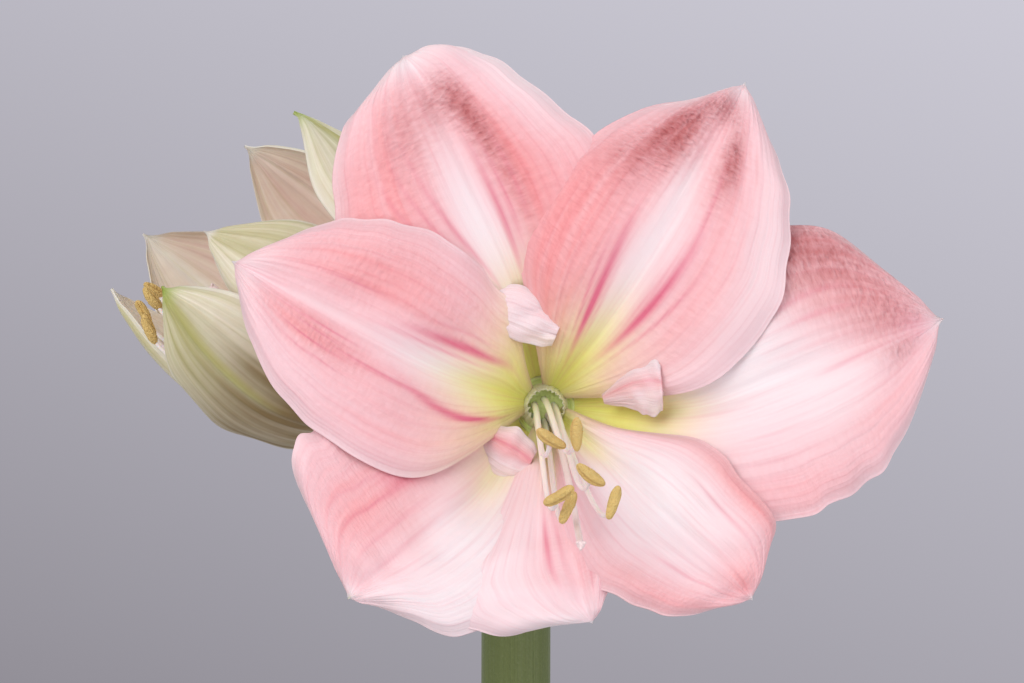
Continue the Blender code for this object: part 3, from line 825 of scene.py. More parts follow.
def veined_material(name, roughness, base, layers, outer, outer_layers, veins, lines, relief, **settings):
    """A leaf's or a petal's skin. Its layers are (mask, colour, how far the veins break the mask up), laid one over
    another on the upper face and on the lower face. `veins` says how many veins across, waves along, wrinkles along
    and cells to a metre there are. `lines` is the tint of the fine veins over all and its share, and `relief` the
    shares of veins, fine veins, wrinkles and cells in the bump."""
    material, tree, shader = new_material(name, roughness, **settings)
    skin = veined_skin(tree, *veins)

    def painted(colour, stack):
        for mask, tint, broken in stack:
            amount = mask_of(tree, mask)
            if broken:
                wobble = scaled(tree, skin["Veins"], 2 * broken, 1 - broken)
                amount = times(tree, amount, wobble, clamp=True)
            colour = colour_mix(tree, amount, colour, tint)
        return colour

    colour = colour_mix(tree, mask_of(tree, "outside"), painted(base, layers), painted(outer, outer_layers))
    line_tint, line_share = lines
    fine = maths(tree, "POWER", skin["Fine Veins"], 2.5)
    colour = colour_mix(tree, times(tree, fine, line_share), colour, line_tint, "MULTIPLY")
    wrinkled = mask_of(tree, "wrinkled")
    wrinkles = times(tree, skin["Wrinkles"], wrinkled)
    # Painted shade: the creases between the wrinkles are darkened in the colour.
    crease_shade = times(tree, maths(tree, "SUBTRACT", 1.0, skin["Wrinkles"]), wrinkled)
    colour = colour_mix(tree, times(tree, crease_shade, 0.85), colour, CREASE_SHADE_TINT, "MULTIPLY")
    feed(tree, shader, "Base Color", colour)
    bump(tree, shader, zip((skin["Veins"], skin["Fine Veins"], wrinkles, skin["Cells"]), relief))
    feed(tree, shader, "Roughness", scaled(tree, skin["Veins"], 0.10, roughness - 0.05))
    return material


# ---------------------------------------------------------------- the user's sizes and colours


def colour_property(name, description, default):
    return FloatVectorProperty(name=name, description=description, default=default, subtype="COLOR", min=0, max=1)


def length_property(name, description, default):
    return FloatProperty(name=name, description=description, default=default, unit="LENGTH", min=0, precision=5)


def light_property(name, description, default, unit):
    return FloatProperty(name=name, description=description, default=default, unit=unit, min=0)


class OpenFlowerLook(bpy.types.PropertyGroup):
    """Sizes and colours of the open flower's tepals."""

    thickness: length_property("Thickness", "Thickness of a tepal at its middle", 0.0011)
    margin_thickness: length_property("Margin thickness", "Thickness of a tepal at its margin", 0.00035)
    groove_depth: length_property("Midrib groove", "Depth of the groove along a tepal's midrib", 0.0011)
    fullness: length_property("Fullness", "How far each half of a tepal swells out", 0.0018)
    vein_height: length_property("Vein height", "Height of the raised veins", 0.00011)
    wrinkle_height: length_property("Wrinkle height", "Height of the quilted wrinkles across the veins", 0.00036)
    petal_pink: colour_property("Petal pink", "The tepals' ground colour", (0.94, 0.62, 0.67))
    coral: colour_property("Coral", "The warm fields of the tepals", (0.93, 0.36, 0.38))
    # Partly painted shade: the dusky rose is the tepals' own darker rose and also the shade where a tepal cups forward
    # and faces down.
    dusky_rose_and_shade: colour_property("Dusky rose", "The darkest wrinkled patches", (0.60, 0.20, 0.21))
    raspberry: colour_property("Raspberry", "The streaks beside the midribs", (0.76, 0.17, 0.27))
    petal_white: colour_property("Petal white", "The pale bands and rims", (0.93, 0.83, 0.86))
    cream: colour_property("Cream", "Where the white turns to green", (0.92, 0.87, 0.58))
    throat_green: colour_property("Throat green", "The throat", (0.88, 0.89, 0.25))


class HalfOpenFlowerLook(bpy.types.PropertyGroup):
    """Sizes and colours of the half-open flower's tepals."""

    thickness: length_property("Thickness", "Thickness of a tepal at its middle", 0.0012)
    rib_height: length_property("Midrib height", "Height of the midrib's ridge on the outer face", 0.0009)
    ivory: colour_property("Ivory", "The outer face's ground colour", (0.96, 0.90, 0.77))
    blush: colour_property("Blush", "The flush inside the cup", (0.76, 0.56, 0.50))
    vein_green: colour_property("Vein green", "The long green veins", (0.46, 0.45, 0.15))
    tip_green: colour_property("Tip green", "The bright green tips", (0.38, 0.52, 0.07))
    # Painted shade: the dark olive where the open flower shades the half-open one.
    olive_shade: colour_property("Olive", "The duller green by the stalk", (0.25, 0.175, 0.075))


class HeartLook(bpy.types.PropertyGroup):
    """Colours of the stamens, styles, fringe and tubes."""

    pollen: colour_property("Pollen", "The anthers' pollen", (1.0, 0.73, 0.29))
    anther_groove: colour_property("Anther groove", "The furrow between an anther's two halves", (0.80, 0.46, 0.14))
    filament_pink: colour_property("Filament pink", "The filaments' upper part", (0.97, 0.87, 0.85))
    filament_green: colour_property("Filament green", "The filaments' roots", (0.93, 0.94, 0.78))
    stigma_white: colour_property("Stigma white", "The style's three-lobed end", (0.97, 0.79, 0.79))
    fringe_green: colour_property("Fringe green", "The fringe in the throat", (1.0, 1.0, 0.80))
    throat_green: colour_property("Throat green", "The inside of the tubes", (0.86, 1.0, 0.42))
    tube_green: colour_property("Tube green", "The tubes behind the flowers", (0.48, 0.54, 0.18))


class StemLook(bpy.types.PropertyGroup):
    """Colours of the stem, the stalks and the withered bracts."""

    stem_green: colour_property("Stem green", "The stem", (0.120, 0.155, 0.036))
    bloom_green: colour_property("Bloom green", "Its waxy bloom", (0.175, 0.215, 0.080))
    stalk_green: colour_property("Stalk green", "The flowers' stalks", (0.20, 0.28, 0.07))
    cut_green: colour_property("Cut green", "The stem's wet cut end", (0.52, 0.60, 0.34))
    straw: colour_property("Straw", "The dry bracts", (0.56, 0.43, 0.24))
    dry_brown: colour_property("Dry brown", "The bracts' veins and torn edges", (0.30, 0.18, 0.08))


class VaseLook(bpy.types.PropertyGroup):
    """Sizes and colours of the vase and its water."""

    turning_mark: length_property("Turning marks", "Height of the rings that turning leaves", 0.00012)
    uneven: length_property("Unevenness", "How far a hand leaves the vase out of round", 0.00025)
    glaze: colour_property("Glaze", "The glaze where it lies thick", (0.70, 0.69, 0.65))
    thin_glaze: colour_property("Thin glaze", "The glaze where it runs thin over the lip", (0.56, 0.47, 0.37))
    clay: colour_property("Clay", "The bare clay of the foot", (0.46, 0.35, 0.26))
    water: colour_property("Water", "The water's tint", (0.86, 0.93, 0.92))


class StageLook(bpy.types.PropertyGroup):
    """The floor, the backdrop and the lights."""

    floor_colour: colour_property("Floor", "The plain floor", (0.66, 0.65, 0.67))
    # Painted light: the backdrop that the camera sees grows lighter from its low colour to its high one.
    backdrop_low: colour_property("Backdrop, low", "The backdrop below the flower", (0.28, 0.266, 0.30))
    backdrop_high: colour_property("Backdrop, high", "The backdrop above the flower", (0.617, 0.604, 0.68))
    key_power: light_property("Key light", "The large soft light at the front left", 19.0, "POWER")
    fill_power: light_property("Fill light", "The weaker light at the front right", 7.0, "POWER")
    sky_strength: light_property("Sky light", "The even light from all round", 0.52, "NONE")


# ---------------------------------------------------------------- the flowers' surfaces


def half_width(widths, along, base):
    """Half width of a tepal in metres, from its half widths in millimetres at fifths of its length; the last twentieth
    draws in to a point."""
    stations = (base, *np.multiply(widths, MM), TEPAL_TIP_HALF_WIDTH)
    return spline(stations, along) * (1 - 0.7 * ease((along - 0.95) / 0.05))


def open_tepal_middle(shape, along, across):
    """The middle surface of an open tepal in the flower's frame. A place is the midrib's point plus its share of the
    half width square to the midrib. The face there rises as one less the exponential of the distance from the throat,
    leans up and right, and is shifted by the tepal's layer and curled back at its tip."""
    midrib = np.multiply(shape["midrib"], MM)
    midrib[0] *= THROAT_REACH
    rib = spline(midrib, along)
    ahead = run_of(midrib, along)
    left = np.stack([-ahead[..., 1], ahead[..., 0]], -1)
    widths = [half_width(side, along, TEPAL_BASE_HALF_WIDTH) for side in shape["widths"]]
    wide = np.where(across > 0, *widths)
    for side, place, spread, wider in shape["shoulders"]:
        wide = wide + (across * side > 0) * wider * MM * hill(along, place, spread)
    edge_wave = 1 + 0.012 * ripple(along * 7, np.sign(across) * 3.0, EDGE_SEED) * np.abs(across)
    x, y = np.moveaxis(rib + (across * wide * edge_wave)[..., None] * left, -1, 0)
    radius = np.maximum(np.hypot(x, y), 0.001)
    fall = np.exp(-(radius - THROAT_RADIUS) / TRUMPET_FLARE)
    height = TRUMPET_DEPTH * (1 - fall) - LEAN_UP * y - LEAN_RIGHT * x
    slope = TRUMPET_DEPTH / TRUMPET_FLARE * fall / radius
    normal = unit(np.stack([LEAN_RIGHT - slope * x, LEAN_UP - slope * y, np.ones_like(x)], -1))
    parted = 1 - np.exp(-along / LAYER_RAMP)
    lift = shape["layer"] * (LAYER_AT_THROAT + (LAYER_STEP - LAYER_AT_THROAT) * parted)
    curl = TIP_CURL * np.clip((along - 0.7) / 0.3, 0, 1) ** 2
    return np.stack([x, y, height], -1) + (lift - curl)[..., None] * normal, wide


def half_open_middle(turn, shift_round, shift_along, widths, layer, along, across):
    """The middle surface of a half-open tepal. The cup's profile gives radius and height along the flower, a place
    across is turned round by its distance over the radius, and the tip is shifted round and along as the square."""
    profile = np.multiply(HALF_PROFILE, MM)
    radius, height = np.moveaxis(spline(profile, along), -1, 0)
    run = run_of(profile, along)
    wide = half_width(widths, along, TEPAL_BASE_HALF_WIDTH)
    angle = np.radians(turn + shift_round * along**2) + across * wide / radius
    radius = radius + layer * HALF_LAYER_STEP * run[..., 1]
    height = height - layer * HALF_LAYER_STEP * run[..., 0] + shift_along * MM * along**2
    outward = np.stack([np.cos(angle), np.sin(angle), np.zeros_like(angle)], -1)
    return np.stack([radius * np.cos(angle), radius * np.sin(angle), height], -1), wide, outward


def patch_masks(patches, names, along, across):
    """One mask for each name: one less the product of what each of its patches leaves over, each patch a bell both
    ways times its strength."""
    masks = {}
    for name in names:
        left = np.ones_like(along)
        for mask, place, side, spread, spread_across, strength in patches:
            if mask == name:
                left = left * (1 - strength * hill(along, place, spread) * hill(across, side, spread_across))
        masks[name] = 1 - left
    return masks


def line_mask(lines, along, across):
    """One mask of thin lines, each a bell across a straight run from one place to another, fading at both its ends."""
    left = np.ones_like(along)
    for from_along, from_across, to_along, to_across, width, strength in lines:
        share = (along - from_along) / (to_along - from_along)
        off = across - from_across - (to_across - from_across) * share
        left = left * (1 - strength * hill(off, 0, width) * ease(share / 0.4) * ease((1 - share) / 0.6))
    return 1 - left


def surface_grid(rows, columns):
    """Places along, closer together at both ends, and across, closer together at both margins."""
    along = np.linspace(0, 1, rows)
    along = along - 0.06 * np.sin(2 * math.pi * along) / (2 * math.pi)
    across = np.sin(np.linspace(-1, 1, columns) * math.pi / 2 * 0.82) / math.sin(math.pi / 2 * 0.82)
    return np.meshgrid(along, across, indexing="ij")


class PieceOperator:
    """What the operators that build pieces share."""

    bl_options = {"REGISTER", "UNDO"}

    def require(self, done, what):
        if not done:
            raise RuntimeError(f"{self.bl_label}: {what}")


class AMARYLLIS_OT_open_tepals(PieceOperator, bpy.types.Operator):
    """Build the seven tepals of the open flower, with their veins, wrinkles and colours"""

    bl_idname = "amaryllis.open_tepals"
    bl_label = "Open flower's tepals"

    def execute(self, context):
        look = context.scene.amaryllis_open_flower
        material = self.material(look)
        for number, (name, shape) in enumerate(OPEN_TEPALS.items()):
            self.tepal(look, number, name, shape, material)
        for number, (name, lobe) in enumerate(CURLED_LOBES.items()):
            self.curled_lobe(look, number, name, lobe, material)
        return {"FINISHED"}

    def curled_lobe(self, look, number, name, lobe, material):
        """A short strip along a curve: a place across is that share of the half width, square to the curve, and falls
        back by the roll times its square; the far end leans out."""
        path, widths, roll, pink = lobe
        along, across = surface_grid(*CURLED_LOBE_GRID)
        path = np.multiply(path, MM)
        line = spline(path, along)
        side = unit(np.cross(OUT, run_of(path, along, 0.01)))
        wide = spline(np.multiply(widths, MM), along) * (1 - 0.18 * ease((along - 0.85) / 0.15) ** 2)
        wide = wide * (1 + 0.06 * ripple(along * 3, np.sign(across) * 2.0, LOBE_EDGE_SEED + number) * np.abs(across))
        out = -roll * MM * across**2 + 0.6 * MM * ripple(along * 2.4, across * 1.3, LOBE_SWELL_SEED + number) * along
        middle = line + (across * wide)[..., None] * side + out[..., None] * OUT
        none = np.zeros_like(along)
        masks = {
            "blush": pink * hill(across, 0.25, 0.35) + 0.2 * hill(along, 0.4, 0.3),
            "dusk_and_shade": none,
            "pale": np.clip(0.75 - 0.9 * pink * hill(across, 0.25, 0.45), 0, 1),
            "rim": 0.5 * ease((np.abs(across) - 0.85) / 0.15),
            "cream": 0.3 * hill(across, -0.8, 0.4) * hill(along, 1, 0.3),
            "green": none,
            "streak": 0.6 * pink * hill(across, 0.30, 0.07) * ease(along / 0.3),
            "wrinkled": np.full_like(along, 0.12),
            "keel": none,
        }
        half = (look.margin_thickness + (look.thickness - look.margin_thickness) * (1 - across**4)) / 2
        outward = np.broadcast_to(OUT @ OPEN_AXES, middle.shape)
        lift = look.vein_height * ripple(across * 4, along * 1.1, LOBE_VEIN_SEED + number)
        middle = to_world(middle, OPEN_AXES, THROAT)
        leaf(f"curled_lobe_{name}", middle, lift, half, masks, outward, material, "pink_tepal", None)

    def material(self, look):
        pale_outer = blended(look.petal_pink, look.petal_white, 0.45)
        layers = (
            ("blush", look.coral, 0.35),
            # The dusk layer is partly the tepals' own dusky rose and partly painted shade.
            ("dusk_and_shade", look.dusky_rose_and_shade, 0.40),
            ("pale", look.petal_white, 0.15),
            ("rim", look.petal_white, 0.15),
            ("cream", look.cream, 0.15),
            ("green", look.throat_green, 0.10),
            ("streak", look.raspberry, 0.38),
        )
        outer_layers = (("blush", look.coral, 0.6), ("keel", look.cream, 0.25), ("green", look.throat_green, 0.1))
        return veined_material(
            "open_tepal_skin",
            0.46,
            look.petal_pink,
            layers,
            pale_outer,
            outer_layers,
            (16.0, 1.3, 92.0, 2400.0),
            ((0.93, 0.76, 0.79), 0.55),
            (0.30, 0.30, 1.30, 0.06),
            subsurface_weight=0.12,
            subsurface_scale=0.003,
            subsurface_radius=(1.0, 0.45, 0.40),
            specular_ior_level=0.35,
            sheen_weight=0.06,
        )

    def tepal(self, look, number, name, shape, material):
        along, across = surface_grid(*OPEN_TEPAL_GRID)
        middle, wide = open_tepal_middle(shape, along, across)
        node = f"open_tepal_{name}"
        masks = patch_masks(shape["patches"], ("blush", "dusk_and_shade", "streak", "pale", "lime"), along, across)
        masks["streak"] = 1 - (1 - masks["streak"]) * (1 - line_mask(shape["lines"], along, across))
        distance = np.abs(across) * wide
        margin = np.abs(across)
        body = ease(along / 0.18) * ease((1 - along) / 0.10)
        tucks = np.where(across > 0, *shape["tucks"])
        masks["rim"] = 0.22 * ease((margin - 0.90) / 0.10) * body * (tucks < 2) + ease((along - 0.97) / 0.02)
        masks["cream"] = 0.95 * hill(along, 0.14, 0.12) * hill(across, 0, 0.26 + 0.8 * (1 - ease(along / 0.16)))
        masks["green"] = (1 - ease((along - 0.04) / 0.14)) * hill(across, 0, 0.9)
        masks["green"] = np.maximum(masks["green"], masks.pop("lime"))
        masks["keel"] = hill(distance, 0, 0.003) * (1 - ease((along - 0.3) / 0.6))
        masks["wrinkled"] = np.clip(0.10 + masks["dusk_and_shade"] * 1.3 + 0.22 * masks["blush"] - 0.3 * masks["pale"], 0, 1)
        lift = look.fullness * np.sin(math.pi * np.clip(margin, 0, 1)) * body
        lift -= look.groove_depth * hill(distance, 0, 0.0026) * (1 - ease((along - 0.75) / 0.25)) * ease(along / 0.08)
        ruffle = ripple(along * 3.2, np.sign(across) * 2.0 + 0.4 * margin, RUFFLE_SEED + number)
        lift += shape["ruffle"] * 1.6 * MM * margin**3 * ruffle * body
        lift += 0.5 * MM * ripple(along * 4.0, across * 1.6, SWELL_SEED + number) * body
        lift -= 2.2 * MM * ease((margin - 0.80) / 0.20) ** 2 * body
        lift -= tucks * MM * ease((margin - 0.45) / 0.55) * ease(along / 0.3)
        veins = ripple(across * wide.max() / MM / 3.1, along * 1.1, VEIN_SEED + number)
        quilt = ripple(along * 50 + 0.6 * veins, across * 12, QUILT_SEED + number) * masks["wrinkled"]
        lift += (look.vein_height * veins + look.wrinkle_height * quilt) * body * (1 - margin**6)
        half = (look.margin_thickness + (look.thickness - look.margin_thickness) * (1 - margin**5)) / 2
        outward = np.broadcast_to(OUT @ OPEN_AXES, middle.shape)
        middle = to_world(middle, OPEN_AXES, THROAT)
        piece = leaf(f"tepal_open_{name}", middle, lift, half, masks, outward, material, "pink_tepal", node)
        self.require(len(piece.data.polygons) > 0, node)


class AMARYLLIS_OT_half_open_tepals(PieceOperator, bpy.types.Operator):
    """Build the six tepals of the half-open flower, green-veined outside and flushed within"""

    bl_idname = "amaryllis.half_open_tepals"
    bl_label = "Half-open flower's tepals"

    def execute(self, context):
        look = context.scene.amaryllis_half_open_flower
        material = self.material(look)
        for number, (name, shape) in enumerate(HALF_TEPALS.items()):
            self.tepal(look, number, name, shape, material)
        return {"FINISHED"}

    def material(self, look):
        inner = blended(look.ivory, look.blush, 0.28)
        white = (0.90, 0.86, 0.78)
        outside_layers = (
            ("lines", look.vein_green, 0.9),
            ("green", look.vein_green, 0.35),
            ("rose", look.blush, 0.5),
            # Painted shade: the olive layer.
            ("olive_shade", look.olive_shade, 0.35),
            ("keel", look.vein_green, 0.3),
            ("rim", white, 0.1),
            ("tip", look.tip_green, 0.1),
        )
        inside_layers = (
            ("rose", look.blush, 0.6),
            ("base", look.vein_green, 0.4),
            ("keel", white, 0.2),
            ("rim", white, 0.1),
            ("tip", look.tip_green, 0.2),
        )
        # The leaf's upper face is the flower's outer one here.
        return veined_material(
            "half_open_tepal_skin",
            0.5,
            look.ivory,
            outside_layers,
            inner,
            inside_layers,
            (13.0, 1.0, 22.0, 2400.0),
            ((0.80, 0.79, 0.62), 0.60),
            (0.36, 0.30, 0.35, 0.05),
            subsurface_weight=0.10,
            subsurface_scale=0.003,
            subsurface_radius=(1.0, 0.7, 0.4),
            specular_ior_level=0.35,
        )

    def tepal(self, look, number, name, shape, material):
        place, widths, layer, patches = shape
        along, across = surface_grid(*HALF_TEPAL_GRID)
        middle, wide, outward = half_open_middle(*place, widths, layer, along, across)
        masks = patch_masks(patches, ("olive_shade", "rose", "green", "tip"), along, across)
        margin, distance = np.abs(across), np.abs(across) * wide
        body = ease(along / 0.12) * ease((1 - along) / 0.08)
        masks["lines"] = 0.20 + 0.10 * hill(along, 0.9, 0.2) + 0.2 * hill(along, 0, 0.3)
        keel = 0.30 + 0.5 * (layer > 0)
        masks["keel"] = keel * hill(distance, 0, 0.0010 + 0.0014 * along) * ease((along - 0.35) / 0.3)
        masks["rim"] = 0.6 * ease((margin - 0.88) / 0.12) * body + ease((along - 0.95) / 0.03) * (1 - masks["tip"])
        masks["base"] = 1 - ease(along / 0.35)
        masks["wrinkled"] = np.full_like(along, 0.18)
        lift = look.rib_height * hill(distance, 0, 0.0014) * body
        lift += 1.0 * MM * np.sin(math.pi * margin) * body
        lift -= 1.6 * MM * ease((margin - 0.75) / 0.25) ** 2 * body
        lift += 1.5 * MM * margin**3 * ripple(along * 3.0, np.sign(across) * 2.0, HALF_RUFFLE_SEED + number) * body
        lift += 0.7 * MM * ease((along - 0.85) / 0.15) ** 2
        veins = ripple(across * wide.max() / MM / 2.6, along * 0.8, HALF_VEIN_SEED + number)
        lift += 0.10 * MM * veins * body * (1 - margin**6)
        half = (HALF_MARGIN_THICKNESS + (look.thickness - HALF_MARGIN_THICKNESS) * (1 - margin**5)) / 2
        middle, outward = to_world(middle, HALF_AXES, HALF_ORIGIN), outward @ HALF_AXES
        node = f"half_open_tepal_{name}"
        piece = leaf(f"tepal_half_open_{name}", middle, lift, half, masks, outward, material, "blush_tepal", node)
        self.require(len(piece.data.polygons) > 0, node)


# ---------------------------------------------------------------- the hearts of the flowers


def grain_material(name, roughness, colours, mask, cloud, grain, relief=(0.4, 0.8), distance=0.0002):
    """A plain body colour with a second colour where the mask is, both clouded with a third, and a fine grain."""
    material, tree, shader = new_material(name, roughness)
    rough = uneven_surface(tree, cloud, grain)
    first, second, third = colours
    colour = colour_mix(tree, times(tree, rough["Clouds"], 0.7), first, third)
    colour = colour_mix(tree, mask_of(tree, mask), colour, second)
    colour = colour_mix(tree, times(tree, rough["Grain"], 0.35), colour, third, "MULTIPLY")
    feed(tree, shader, "Base Color", colour)
    feed(tree, shader, "Roughness", scaled(tree, rough["Clouds"], 0.16, roughness - 0.08))
    bump(tree, shader, ((rough["Clouds"], relief[0]), (rough["Grain"], relief[1])), distance)
    return material


def flower_parts(prefix):
    """A flower's axes, origin, tube mouth, way out, anthers, first filament's angle, roots' depth, the way the
    filaments come to their anthers and how far they droop first, its tube's length and its style's end and bow."""
    if prefix == "open":
        return {
            "axes": OPEN_AXES,
            "origin": THROAT,
            "mouth": np.zeros(3),
            "way": OPEN_WAY,
            "anthers": OPEN_ANTHERS,
            "first": 90,
            "depth": 0.011,
            "rise": (0.16, 0.72, 0.68),
            "droop": 0.020,
            "tube": OPEN_TUBE_LENGTH,
            "style": ((0.008, -0.033, 0.085), (0.002, 0.003, 0)),
        }
    back = HALF_OVARY_START + OVARY_LENGTH + GAP
    return {
        "axes": HALF_AXES,
        "origin": HALF_ORIGIN,
        "mouth": np.array((0, 0, back + HALF_TUBE_LENGTH)),
        "way": np.array((0, 0, 1.0)),
        "anthers": HALF_ANTHERS,
        "first": 120,
        "depth": 0.003,
        "rise": (0.0, 0.35, 0.94),
        "droop": 0.026,
        "tube": HALF_TUBE_LENGTH,
        "style": ((0.004, -0.014, 0.108), (-0.0005, 0.0025, 0)),
    }


def placed(parts, points):
    return to_world(points, parts["axes"], parts["origin"])


def turn_to(way):
    """The least turn that brings Z to this way, as a matrix whose rows are the turned axes."""
    return np.array(Vector((0, 0, 1)).rotation_difference(Vector(way)).to_matrix()).T


class AMARYLLIS_OT_stamens(PieceOperator, bpy.types.Operator):
    """Build the filaments and the grooved, pollen-covered anthers of both flowers"""

    bl_idname = "amaryllis.stamens"
    bl_label = "Stamens"

    def execute(self, context):
        look = context.scene.amaryllis_heart
        filament_skin = self.filament_material(look)
        colours = (look.pollen, look.anther_groove, shaded(look.pollen, 0.97))
        pollen = grain_material("pollen", 0.85, colours, "groove", 520.0, 2600.0, (0.8, 1.2), 0.0004)
        for prefix in ("open", "half_open"):
            parts = flower_parts(prefix)
            for number, (centre, length_way) in enumerate(parts["anthers"], 1):
                centre = np.multiply(centre, MM)
                self.filament(prefix, parts, number, centre, filament_skin)
                self.anther(prefix, parts, number, centre, length_way, pollen)
        return {"FINISHED"}

    def filament_material(self, look):
        material, tree, shader = new_material("filament", 0.4, subsurface_weight=0.2, subsurface_scale=0.001)
        place = add_node(tree, "ShaderNodeUVMap", uv_map="surface").outputs[0]
        along = add_node(tree, "ShaderNodeSeparateXYZ", {0: place}).outputs[0]
        rough = uneven_surface(tree, 120.0, 2000.0)
        rise = scaled(tree, along, 2.2, -0.35, clamp=True)
        colour = colour_mix(tree, rise, look.filament_green, look.filament_pink)
        colour = colour_mix(tree, times(tree, rough["Clouds"], 0.25), colour, (0.95, 0.88, 0.88))
        feed(tree, shader, "Base Color", colour)
        bump(tree, shader, ((rough["Grain"], 0.5),), 0.0001)
        return material

    def filament(self, prefix, parts, number, centre, material):
        """A tube along a cubic curve from its root in the throat to the anther's near side, its radius falling evenly
        and then swelling a little where it joins."""
        angle = math.radians(parts["first"] - (number - 1) * 360 / len(parts["anthers"]))
        ring = np.array((FILAMENT_RING * math.cos(angle), FILAMENT_RING * math.sin(angle), -parts["depth"]))
        root = ring @ turn_to(parts["way"]) + parts["mouth"]
        come = unit(np.array(parts["rise"]))
        end = centre - FILAMENT_STOP * come
        third = np.linalg.norm(end - root) / 3
        rings, sides = FILAMENT_GRID
        path = bezier(root, root + third * parts["way"], end - parts["droop"] * come, end, rings)
        share = np.linspace(0, 1, rings)
        radius = FILAMENT_RADIUS * (1.2 - 0.5 * share) * (1 + 0.25 * hill(share, 1, 0.03))
        shape = closed_tube(placed(parts, path), radius, (1, 0, 0), sides)
        node = f"{prefix}_filament_{number}"
        new_piece(f"filament_{prefix}_{number}", *shape, {}, material, "stamen", [node], flip=True)

    def anther(self, prefix, parts, number, centre, length_way, material):
        """A bent tube with round ends, its radius one less a power of the place along it, pinched in by a furrow on
        two sides, and lumpy."""
        length_way = unit(np.array(length_way, float))
        side = unit(np.cross(length_way, unit(np.array(parts["rise"]))))
        up = np.cross(side, length_way)
        rings, sides = ANTHER_GRID
        reach = np.linspace(-1, 1, rings)[:, None]
        path = centre + reach * ANTHER_HALF_LENGTH * length_way - ANTHER_BOW * (1 - reach**2) * up
        around = circle(sides)[None]
        envelope = np.sqrt(np.clip(1 - np.abs(reach) ** 2.6, 0.0004, 1))
        furrow = np.exp(-((np.sin(around) / 0.28) ** 2))
        lumpy = 0.05 * ripple(reach * 9, around * 1.6, ANTHER_SEED + number)
        swell = 1 + 0.07 * np.sin(3.2 * reach + number)
        radius = ANTHER_HALF_THICKNESS * envelope * (1 - 0.30 * furrow + lumpy) * swell
        shape = closed_tube(placed(parts, path), radius, up @ parts["axes"], sides)
        groove = np.concatenate([np.broadcast_to(furrow, radius.shape).ravel() ** 1.5 * 0.5, [0, 0]])
        node = f"{prefix}_anther_{number}"
        new_piece(f"anther_{prefix}_{number}", *shape, {"groove": groove}, material, "anther", [node], flip=True)


